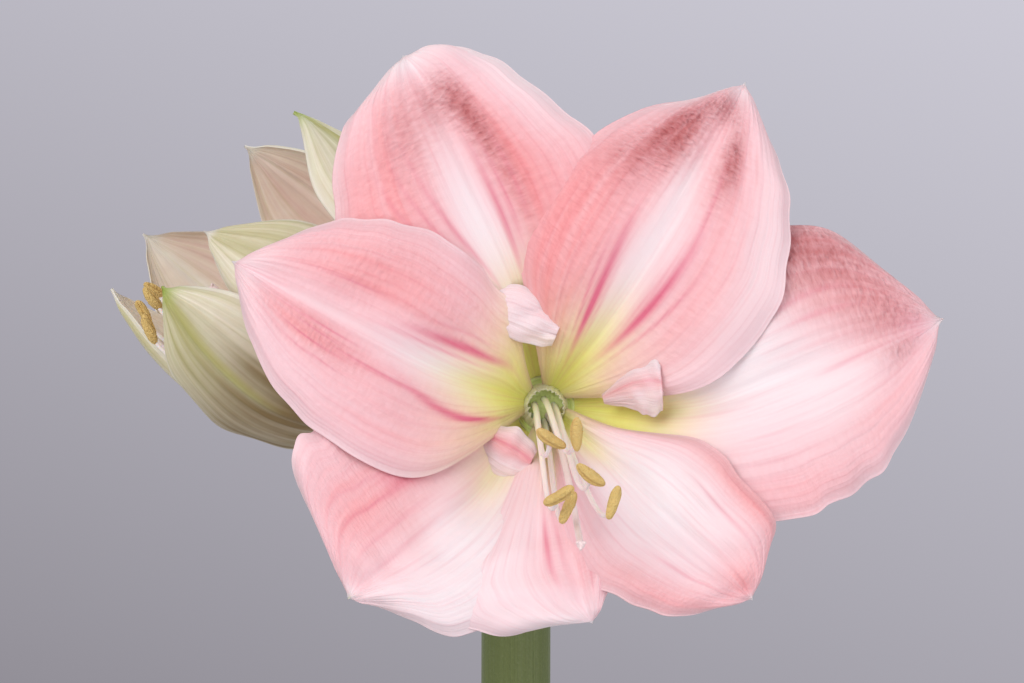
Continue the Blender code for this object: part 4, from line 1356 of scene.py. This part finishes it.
class AMARYLLIS_OT_throats(PieceOperator, bpy.types.Operator):
    """Build the flowers' tubes, the toothed fringe in the open throat, and the styles with their stigmas"""

    bl_idname = "amaryllis.throats"
    bl_label = "Tubes, fringe and styles"

    def execute(self, context):
        look = context.scene.amaryllis_heart
        pale = blended(look.fringe_green, (1, 1, 1), 0.5)
        greens = (look.tube_green, look.throat_green, look.fringe_green)
        tube = grain_material("tube_skin", 0.45, greens, "ribs", 60.0, 1800.0)
        fringe = grain_material("fringe_skin", 0.5, (look.fringe_green, pale, pale), "edge", 200.0, 2400.0)
        pinks = (look.filament_pink, look.stigma_white, look.stigma_white)
        style = grain_material("style_skin", 0.35, pinks, "stigma", 90.0, 2200.0)
        for prefix in ("open", "half_open"):
            parts = flower_parts(prefix)
            self.tube(prefix, parts, tube)
            self.style(prefix, parts, style)
        self.fringe(flower_parts("open"), fringe)
        return {"FINISHED"}

    def tube(self, prefix, parts, material):
        """A cup turned about the flower's axis: its radius grows as the share of its length to the power one and a
        half, with six shallow ribs round it."""
        rings, sides = TUBE_GRID
        share = np.linspace(0, 1, rings)
        outer = TUBE_END_RADIUS + (TUBE_MOUTH_RADIUS - TUBE_END_RADIUS) * share**1.5
        height = (share - 1) * (parts["tube"] - TUBE_RIM_DEPTH) - TUBE_RIM_DEPTH
        floor = max(2 * TUBE_WALL - parts["tube"], THROAT_FLOOR)
        radii = np.concatenate([outer - TUBE_WALL, [outer[-1] - TUBE_WALL / 2], outer[::-1]])
        heights = np.concatenate([np.maximum(height, floor), [0.0003 - TUBE_RIM_DEPTH], height[::-1]])
        profile = np.concatenate([[[0, floor]], np.stack([radii, heights], 1), [[0, -parts["tube"]]]])
        points, faces, places = turned_shape(profile, sides)
        rib = np.cos(6 * np.arctan2(points[:, 1], points[:, 0]))
        squeeze = 1 + 0.025 * rib * np.clip(-points[:, 2] / parts["tube"], 0, 1)
        points[:, :2] *= squeeze[:, None]
        points = points @ turn_to(parts["way"]) + parts["mouth"]
        mask = 0.7 * ease(rib)
        mask[: rings * sides] = mask[-2] = 1.0  # the inside, and the middle of its floor
        world = placed(parts, points)
        node, masks = f"{prefix}_tube", {"ribs": mask}
        new_piece(f"tube_{prefix}", world, faces, places, masks, material, "tube_green", [node])

    def fringe(self, parts, material):
        """A thin ring that leans in over the tube, most at its upper side, and whose free edge is cut into uneven
        teeth: its height is a base plus the tooth's height times the absolute sine of the angle."""
        rows, steps = FRINGE_GRID
        angle = circle(steps)[None]
        share = np.linspace(0, 1, rows)[:, None]
        draw = 1 + 0.35 * ripple(np.cos(angle) * 2.4, np.sin(angle) * 2.4, FRINGE_SEED)
        tooth = np.abs(np.sin(9.5 * angle)) ** 0.7 * draw
        height = FRINGE_FOOT + (FRINGE_TOP + 0.0009 * tooth - FRINGE_FOOT) * share
        lean = 0.0013 + 0.0010 * np.sin(angle) + 0.0008 * tooth + 0.0004 * np.sin(19 * angle + 1.0) * draw
        radius = CORONA_RADIUS - 0.0002 - share**1.6 * lean
        half_wall = FRINGE_WALL * (1 - 0.55 * share) / 2
        rings = []
        for r, order in ((radius + half_wall, slice(None)), (radius - half_wall, slice(None, None, -1))):
            ring = np.stack([r * np.cos(angle), r * np.sin(angle), height], 2)
            rings.append(ring[order])
        points = np.concatenate(rings)
        faces, places = grid_faces(2 * rows, steps, round_rows=True, round_columns=True)
        points = points.reshape(-1, 3) @ turn_to(parts["way"]) + parts["mouth"]
        edge = np.broadcast_to(share**3, (rows, steps))
        masks = {"edge": np.concatenate([edge, edge[::-1]])}
        world = placed(parts, points)
        new_piece("fringe_open", world, [faces], [places], masks, material, "fringe", ["open_corona"])

    def style(self, prefix, parts, material):
        """A rod along a cubic curve, and three short lobes that curl out from its end at a third of a turn apart."""
        end, bow = (np.array(value) for value in parts["style"])
        root = np.array((0, 0, 3 * TUBE_WALL - parts["tube"])) @ turn_to(parts["way"]) + parts["mouth"]
        third = np.linalg.norm(end - root) / 3
        rings, sides = STYLE_GRID
        path = bezier(root, root + third * parts["way"] + bow, end - third * OUT, end, rings)
        radius = STYLE_RADIUS * (1 + 0.15 * ease((np.linspace(0, 1, rings) - 0.93) / 0.07))
        shapes = [closed_tube(placed(parts, path), radius, (1, 0, 0), sides)]
        rings, sides = LOBE_GRID
        f = np.linspace(0, 1, rings)[:, None]
        for angle in 2 * math.pi * np.arange(3) / 3 + 0.5:
            away = np.array((math.cos(angle), math.sin(angle), 0))
            lobe = end + 0.0011 * np.sin(1.2 * f) * away + 0.0008 * (f - 1) * OUT
            lobe, size = rounded(lobe, LOBE_RADIUS * (1 + 0.2 * np.sin(f * 3)))
            shapes.append(closed_tube(placed(parts, lobe), size, (0.3, 1, 0.2), sides))
        points, faces, places = join_parts(shapes)
        tip = placed(parts, end)
        masks = {"stigma": hill(np.linalg.norm(points - tip, axis=1), 0, 0.006)}
        node = f"{prefix}_style"
        new_piece(f"style_{prefix}", points, faces, places, masks, material, "stamen", [node], flip=True)


# ---------------------------------------------------------------- the green parts


def streaked_material(name, roughness, colours, mask, counts, relief):
    """A green skin with long streaks on its own surface coordinates, a waxy bloom in clouds, and another colour where
    the mask is."""
    material, tree, shader = new_material(name, roughness)
    skin = veined_skin(tree, *counts, 18.0, 1800.0)
    rough = uneven_surface(tree, 26.0, 1200.0)
    body, bloom, other = colours
    colour = colour_mix(tree, times(tree, rough["Clouds"], 0.55), body, bloom)
    colour = colour_mix(tree, times(tree, skin["Fine Veins"], 0.45), colour, shaded(body, 0.62))
    colour = colour_mix(tree, times(tree, maths(tree, "POWER", rough["Grain"], 4.0), 0.35), colour, bloom)
    colour = colour_mix(tree, mask_of(tree, mask), colour, other)
    feed(tree, shader, "Base Color", colour)
    feed(tree, shader, "Roughness", scaled(tree, rough["Clouds"], 0.22, roughness - 0.10))
    bump(tree, shader, ((skin["Veins"], relief[0]), (skin["Fine Veins"], relief[1]), (rough["Grain"], relief[2])))
    return material


class AMARYLLIS_OT_stem(PieceOperator, bpy.types.Operator):
    """Build the thick hollow-cut stem, its two flower stalks with their three-sided ovaries, and the dry bracts"""

    bl_idname = "amaryllis.stem"
    bl_label = "Stem, stalks and bracts"

    def execute(self, context):
        look = context.scene.amaryllis_stem
        greens = (look.stem_green, look.bloom_green, look.cut_green)
        self.stem(streaked_material("stem_skin", 0.48, greens, "cut", (46.0, 2.2), (0.5, 0.3, 0.25)))
        greens = (look.stalk_green, look.bloom_green, look.bloom_green)
        self.stalks(streaked_material("stalk_skin", 0.42, greens, "cut", (20.0, 1.5), (0.4, 0.3, 0.2)))
        self.bracts(look)
        return {"FINISHED"}

    def stem(self, material):
        """A tube a little out of round, with shallow flutes: its radius times one, plus a small share of the cosine of
        twice and of eleven times the angle. Both ends turn in over a small round."""
        rows, sides = STEM_GRID
        share = np.linspace(0, 1, rows)[:, None]
        path = STEM_FOOT + share * (STEM_TOP - STEM_FOOT)
        around = circle(sides)[None]
        from_end = np.minimum(share, 1 - share) * np.linalg.norm(STEM_TOP - STEM_FOOT)
        turned_in = np.sqrt(np.clip(1 - (1 - np.clip(from_end / STEM_EDGE_ROUND, 0, 1)) ** 2, 0, 1)) * 0.08 + 0.92
        flutes = -0.006 + 0.006 * np.cos(2 * around) + 0.004 * np.cos(11 * around + 3 * share)
        flutes = flutes + 0.004 * ripple(share * 5, around, STEM_SEED)
        radius = STEM_RADIUS * (1 + np.minimum(flutes, 0.004)) * turned_in
        points, faces, places = closed_tube(path, radius, (1, 0, 0), sides)
        cut = np.concatenate([np.zeros(rows * sides), [1.0, 0.3]])
        new_piece("stem_green", points, faces, places, {"cut": cut}, material, "stem_green", ["stem"], flip=True)

    def stalks(self, material):
        """Each stalk is a tube along a cubic curve from the stem's top, and swells into an ovary with three rounded
        sides: its radius there grows as a power of a sine and varies with the cosine of three times the angle."""
        open_way = OPEN_WAY @ OPEN_AXES
        open_end = OPEN_THROAT - (OPEN_TUBE_LENGTH + GAP + OVARY_LENGTH) * open_way
        half_end = HALF_BASE + HALF_OVARY_START * HALF_AXIS
        for prefix, root, end, way in (
            ("open", OPEN_STALK_ROOT, open_end, open_way),
            ("half_open", HALF_STALK_ROOT, half_end, HALF_AXIS),
        ):
            start = root + GAP * STEM_AXIS
            bend = 0.4 * np.linalg.norm(end - start)
            upright = start + PEDICEL_RADIUS * STEM_AXIS
            curve = bezier(upright, upright + bend * STEM_AXIS, end - bend * way, end, STALK_CURVE_POINTS)
            swell = np.linspace(0, 1, 34)[1:]
            path = np.concatenate([[start], curve, end + (swell * OVARY_LENGTH)[:, None] * way]) + STEM_TOP
            grow = np.sin(math.pi * np.minimum(swell, 0.9)) ** 0.7
            bulk = np.concatenate([np.zeros(STALK_CURVE_POINTS + 1), grow])[:, None]
            size = PEDICEL_RADIUS + (OVARY_RADIUS - PEDICEL_RADIUS) * bulk
            around = circle(STALK_SIDES)[None]
            radius = size * (1 + 0.06 * bulk * (np.cos(3 * around) - 1) + 0.012 * np.cos(9 * around) - 0.01)
            points, faces, places = closed_tube(path, radius, (1, 0, 0), STALK_SIDES)
            masks = {"cut": np.concatenate([np.broadcast_to(0.5 * bulk, radius.shape).ravel(), [0, 0]])}
            node = f"{prefix}_stalk"
            new_piece(f"stalk_{prefix}", points, faces, places, masks, material, "stem_green", [node], flip=True)

    def bracts(self, look):
        """Each bract hangs from the stem's top, wraps a little round it, and is crumpled: its stand-off grows as a
        sine squared, with folds along it that deepen to its torn end."""
        torn = (("torn", look.dry_brown, 0.8),)
        material = veined_material(
            "bract_paper",
            0.75,
            look.straw,
            torn,
            look.straw,
            torn,
            (12.0, 1.2, 16.0, 900.0),
            (look.dry_brown, 0.55),
            (0.8, 0.5, 0.9, 0.1),
            specular_ior_level=0.2,
        )
        out = STEM_RADIUS + BRACT_STAND_OFF
        for name, side in (("left", -1), ("right", 1)):
            along, across = surface_grid(*BRACT_GRID)
            margin = np.abs(across)
            wide = BRACT_HALF_WIDTH * np.sqrt(1.02 - along**3)
            wide = wide * (1 + 0.10 * ripple(along * 5, np.sign(across), BRACT_EDGE_SEED + side) * margin)
            angle = across * wide / out
            folds = 0.0008 * along * np.cos(across * 7 + side)
            folds = folds + 0.0007 * along * ripple(along * 5, across * 2.4, BRACT_FOLD_SEED + side)
            stand = out + 0.006 * np.sin(math.pi * along) ** 2 * along + folds + 0.0004
            down = BRACT_LENGTH * along * (1 - 0.05 * np.abs(np.sin(across * 9)) * along**4)
            middle = np.stack([side * stand * np.cos(angle), stand * np.sin(angle), -down], -1) + STEM_TOP
            outward = np.broadcast_to((float(side), 0.0, 0.0), middle.shape)
            torn = np.clip(ease((along - 0.8) / 0.2) * 0.8 + ease((margin - 0.8) / 0.2) * 0.5, 0, 1)
            masks = {"torn": torn, "wrinkled": np.ones_like(along)}
            flat, half = np.zeros_like(along), np.full_like(along, BRACT_THICKNESS / 2)
            leaf(f"bract_dry_{name}", middle, flat, half, masks, outward, material, "bract", f"bract_{name}")


# ---------------------------------------------------------------- the vase and its water


def vase_radius(height):
    """Outer radius: a quarter sine from foot to belly, half a cosine from belly to neck, and a square to the lip."""
    quarter = np.sin(math.pi / 2 * np.clip(height / VASE_BELLY_HEIGHT, 0, 1))
    low = VASE_FOOT_RADIUS + (BELLY_RADIUS - VASE_FOOT_RADIUS) * quarter
    span = VASE_NECK_HEIGHT - VASE_BELLY_HEIGHT
    fall = (1 + np.cos(math.pi * np.clip((height - VASE_BELLY_HEIGHT) / span, 0, 1))) / 2
    middle = VASE_NECK_RADIUS + (BELLY_RADIUS - VASE_NECK_RADIUS) * fall
    high = VASE_NECK_RADIUS + VASE_FLARE * (np.maximum(height - VASE_NECK_HEIGHT, 0) / VASE_NECK_DROP) ** 2
    return np.where(height < VASE_BELLY_HEIGHT, low, np.where(height < VASE_NECK_HEIGHT, middle, high))


class AMARYLLIS_OT_vase(PieceOperator, bpy.types.Operator):
    """Build the turned and glazed bottle vase, and give the water inside it its material"""

    bl_idname = "amaryllis.vase"
    bl_label = "Vase and water"

    def execute(self, context):
        look = context.scene.amaryllis_vase
        self.vase(look)
        self.water(look)
        return {"FINISHED"}

    def vase(self, look):
        """The inner side from the floor's middle up, over the round lip, down the outer side with its turning marks,
        round the foot's edge, and in along a foot ring and the recess inside it."""
        rows, sides = VASE_GRID
        rim = VASE_HEIGHT - VASE_WALL / 2
        up = np.linspace(VASE_FLOOR, rim, 120)
        slope = np.gradient(vase_radius(up), up)
        inner = np.stack([vase_radius(up) - VASE_WALL * np.hypot(1, slope), up], 1)
        corner = np.linspace(0, 1, 7)[1:-1, None]
        floor_edge = np.array(((inner[0, 0] - 0.006, VASE_FLOOR),)) * (1 - corner) + inner[:1] * corner
        lip_middle = np.array((vase_radius(np.array(rim)) - VASE_WALL / 2, rim))
        turn = np.linspace(math.pi, 0, 15)[1:-1]
        lip = lip_middle + VASE_WALL / 2 * np.stack([np.cos(turn), np.sin(turn)], 1)
        down = np.linspace(rim, 0.002, rows)
        marks = np.sin(down / 0.0042 * 2 * math.pi + 2 * np.sin(down * 60)) * ease((rim - down) / 0.02)
        outer = np.stack([vase_radius(down) + look.turning_mark * (marks - 1), down], 1)
        floor = ((0, VASE_FLOOR), (0.012, VASE_FLOOR), (0.030, VASE_FLOOR))
        profile = np.concatenate([floor, floor_edge, inner[1:], lip, outer, VASE_FOOT_PROFILE])
        shape = turned_shape(profile, sides, look.uneven, VASE_SEED)
        new_piece("vase_glazed", *shape, {}, self.glaze_material(look), "glaze", ["vase"])

    def glaze_material(self, look):
        """Glaze that lies thick on the body, thin on the lip, and stops above the bare clay of the foot in an uneven
        line; with iron specks and a fine crackle."""
        material, tree, shader = new_material("stoneware_glaze", 0.22, coat_roughness=0.08)
        rough = uneven_surface(tree, 14.0, 700.0)
        body = add_node(tree, "ShaderNodeTexCoord").outputs["Object"]
        height = add_node(tree, "ShaderNodeSeparateXYZ", {0: body}).outputs[2]
        wavy = scaled(tree, rough["Clouds"], 0.003, height)
        glazed = scaled(tree, maths(tree, "SUBTRACT", wavy, 0.0075), 900.0, 0.0, clamp=True)
        thin = scaled(tree, maths(tree, "SUBTRACT", wavy, VASE_HEIGHT - 0.005), 260.0, 0.0, clamp=True)
        drip = scaled(tree, maths(tree, "SUBTRACT", 0.016, wavy), 90.0, 0.0, clamp=True)
        specks = add_node(tree, "ShaderNodeTexVoronoi", {"Vector": body, "Scale": 260.0, "Randomness": 1.0})
        draw = add_node(tree, "ShaderNodeSeparateXYZ", {0: specks.outputs["Color"]}).outputs[0]
        sparse = maths(tree, "GREATER_THAN", draw, 0.80)
        speck = times(tree, maths(tree, "LESS_THAN", specks.outputs["Distance"], 0.17), sparse)
        inputs = {"Vector": body, "Scale": 95.0}
        crackle = add_node(tree, "ShaderNodeTexVoronoi", inputs, feature="DISTANCE_TO_EDGE").outputs["Distance"]
        line = maths(tree, "LESS_THAN", crackle, 0.018)
        colour = colour_mix(tree, times(tree, rough["Clouds"], 0.35), look.glaze, shaded(look.glaze, 0.90))
        colour = colour_mix(tree, times(tree, drip, 0.35), colour, (0.60, 0.62, 0.58))
        colour = colour_mix(tree, times(tree, line, 0.16), colour, (0.42, 0.38, 0.32))
        colour = colour_mix(tree, times(tree, speck, 0.75), colour, (0.25, 0.17, 0.11))
        colour = colour_mix(tree, thin, colour, look.thin_glaze)
        clay = colour_mix(tree, rough["Grain"], look.clay, shaded(look.clay, 0.8))
        colour = colour_mix(tree, glazed, clay, colour)
        feed(tree, shader, "Base Color", colour)
        roughness = scaled(tree, maths(tree, "SUBTRACT", 1.0, glazed), 0.6, 0.20)
        feed(tree, shader, "Roughness", scaled(tree, rough["Clouds"], 0.10, roughness))
        feed(tree, shader, "Coat Weight", times(tree, glazed, 0.6))
        bump(tree, shader, ((rough["Clouds"], 0.8), (rough["Grain"], 0.15), (glazed, 1.2), (speck, 0.2)), 0.0005, 0.6)
        return material

    def water(self, look):
        material, tree, shader = new_material("vase_water", 0.03, look.water, transmission_weight=0.9, ior=1.333)
        rough = uneven_surface(tree, 30.0, 300.0)
        tint = colour_mix(tree, rough["Clouds"], look.water, shaded(look.water, 0.94))
        feed(tree, shader, "Base Color", tint)
        bump(tree, shader, ((rough["Clouds"], 0.3),), 0.0003)
        mesh = NODES["water"].data
        mesh.materials.clear()
        mesh.materials.append(material)


# ---------------------------------------------------------------- the stage


class AMARYLLIS_OT_stage(PieceOperator, bpy.types.Operator):
    """Build the plain floor, the backdrop with its painted light, the soft lights and the camera"""

    bl_idname = "amaryllis.stage"
    bl_label = "Stage"

    def execute(self, context):
        scene, look = context.scene, context.scene.amaryllis_stage
        scene.view_settings.view_transform = "Standard"
        self.floor(look)
        self.world(scene, look)
        aim = Vector(THROAT)
        self.light("key", (-0.85, -1.55, 1.30), aim, look.key_power, 1.3, (1.0, 0.98, 0.95))
        self.light("fill", (1.15, -1.25, 0.55), aim, look.fill_power, 1.1, (0.96, 0.97, 1.0))
        self.light("rim", (0.35, 1.25, 1.45), aim, 0.5 * look.fill_power, 0.9, (1.0, 1.0, 1.0))
        self.camera(scene)
        return {"FINISHED"}

    def floor(self, look):
        """A flat round floor: rings of points whose radius grows as the square of their place."""
        material, tree, shader = new_material("floor_paper", 0.8, specular_ior_level=0.2)
        rough = uneven_surface(tree, 2.0, 120.0)
        tint = colour_mix(tree, rough["Clouds"], look.floor_colour, shaded(look.floor_colour, 0.97))
        feed(tree, shader, "Base Color", tint)
        bump(tree, shader, ((rough["Grain"], 0.3),), 0.0002)
        rows, sides = FLOOR_GRID
        angle = circle(sides)
        radius = FLOOR_RADIUS * (np.arange(1, rows + 1) / rows)[:, None] ** 2
        rings = np.stack([radius * np.cos(angle), radius * np.sin(angle), np.full((rows, sides), -FLOOR_DEPTH)], 2)
        faces, _ = grid_faces(rows, sides, round_columns=True)
        (middle, _), _ = end_fans(rows, sides)
        mesh = bpy.data.meshes.new("floor")
        points = np.concatenate([rings.reshape(-1, 3), [[0, 0, -FLOOR_DEPTH]]])
        mesh.from_pydata(points.tolist(), [], faces.tolist() + middle.tolist())
        mesh.materials.append(material)
        floor = bpy.data.objects.new("floor", mesh)
        bpy.context.scene.collection.objects.link(floor)

    def world(self, scene, look):
        """The camera sees a grey with painted light, lighter higher up and to the right; the light itself is even."""
        world = bpy.data.worlds.new("studio")
        scene.world = world
        world.use_nodes = True
        tree = world.node_tree
        tree.nodes.clear()
        way = add_node(tree, "ShaderNodeTexCoord").outputs["Generated"]
        split = add_node(tree, "ShaderNodeSeparateXYZ", {0: way})
        across = scaled(tree, split.outputs[0], 0.92, 0.49)
        rise = scaled(tree, split.outputs[2], 2.54, across, clamp=True)
        seen = colour_mix(tree, rise, look.backdrop_low, look.backdrop_high)
        backdrop = add_node(tree, "ShaderNodeBackground", {"Color": seen, "Strength": 1.0})
        light = add_node(tree, "ShaderNodeBackground", {"Color": (0.98, 0.98, 1.0, 1), "Strength": look.sky_strength})
        ray = add_node(tree, "ShaderNodeLightPath").outputs["Is Camera Ray"]
        mixed = add_node(tree, "ShaderNodeMixShader", {0: ray, 1: light.outputs[0], 2: backdrop.outputs[0]})
        add_node(tree, "ShaderNodeOutputWorld", {"Surface": mixed.outputs[0]})

    def light(self, name, place, aim, power, size, colour):
        data = bpy.data.lights.new(name, "AREA")
        data.energy, data.size, data.color = power, size, colour
        lamp = bpy.data.objects.new(name, data)
        lamp.location = place
        lamp.rotation_euler = (aim - Vector(place)).to_track_quat("-Z", "Y").to_euler()
        bpy.context.scene.collection.objects.link(lamp)

    def camera(self, scene):
        data = bpy.data.cameras.new("camera")
        data.lens, data.sensor_width = CAMERA_LENS, CAMERA_SENSOR
        camera = bpy.data.objects.new("camera", data)
        camera.location = Vector(THROAT) + Vector(CAMERA_FROM_THROAT)
        camera.rotation_euler = (math.pi / 2, 0, 0)
        scene.collection.objects.link(camera)
        scene.camera = camera


# ---------------------------------------------------------------- the panel and the run

LOOKS = {
    "amaryllis_open_flower": OpenFlowerLook,
    "amaryllis_half_open_flower": HalfOpenFlowerLook,
    "amaryllis_heart": HeartLook,
    "amaryllis_stem": StemLook,
    "amaryllis_vase": VaseLook,
    "amaryllis_stage": StageLook,
}
OPERATORS = (
    AMARYLLIS_OT_open_tepals,
    AMARYLLIS_OT_half_open_tepals,
    AMARYLLIS_OT_stamens,
    AMARYLLIS_OT_throats,
    AMARYLLIS_OT_stem,
    AMARYLLIS_OT_vase,
    AMARYLLIS_OT_stage,
)


class AMARYLLIS_PT_panel(bpy.types.Panel):
    """The amaryllis's sizes and colours, and a button for each group of pieces"""

    bl_idname = "AMARYLLIS_PT_panel"
    bl_label = "Amaryllis in a vase"
    bl_space_type = "VIEW_3D"
    bl_region_type = "UI"
    bl_category = "Amaryllis"

    def draw(self, context):
        for operator in OPERATORS:
            self.layout.operator(operator.bl_idname)
        for name, look in LOOKS.items():
            box = self.layout.box()
            box.label(text=look.__doc__)
            for key in look.__annotations__:
                box.prop(getattr(context.scene, name), key)


def register():
    for thing in (*LOOKS.values(), *OPERATORS, AMARYLLIS_PT_panel):
        bpy.utils.register_class(thing)
    for name, look in LOOKS.items():
        setattr(bpy.types.Scene, name, PointerProperty(type=look))


def unregister():
    for name in LOOKS:
        delattr(bpy.types.Scene, name)
    for thing in reversed((*LOOKS.values(), *OPERATORS, AMARYLLIS_PT_panel)):
        bpy.utils.unregister_class(thing)


def main():
    register()
    bpy.ops.amaryllis.open_tepals()
    bpy.ops.amaryllis.half_open_tepals()
    bpy.ops.amaryllis.stamens()
    bpy.ops.amaryllis.throats()
    bpy.ops.amaryllis.stem()
    bpy.ops.amaryllis.vase()
    bpy.ops.amaryllis.stage()


if __name__ == "__main__":
    main()
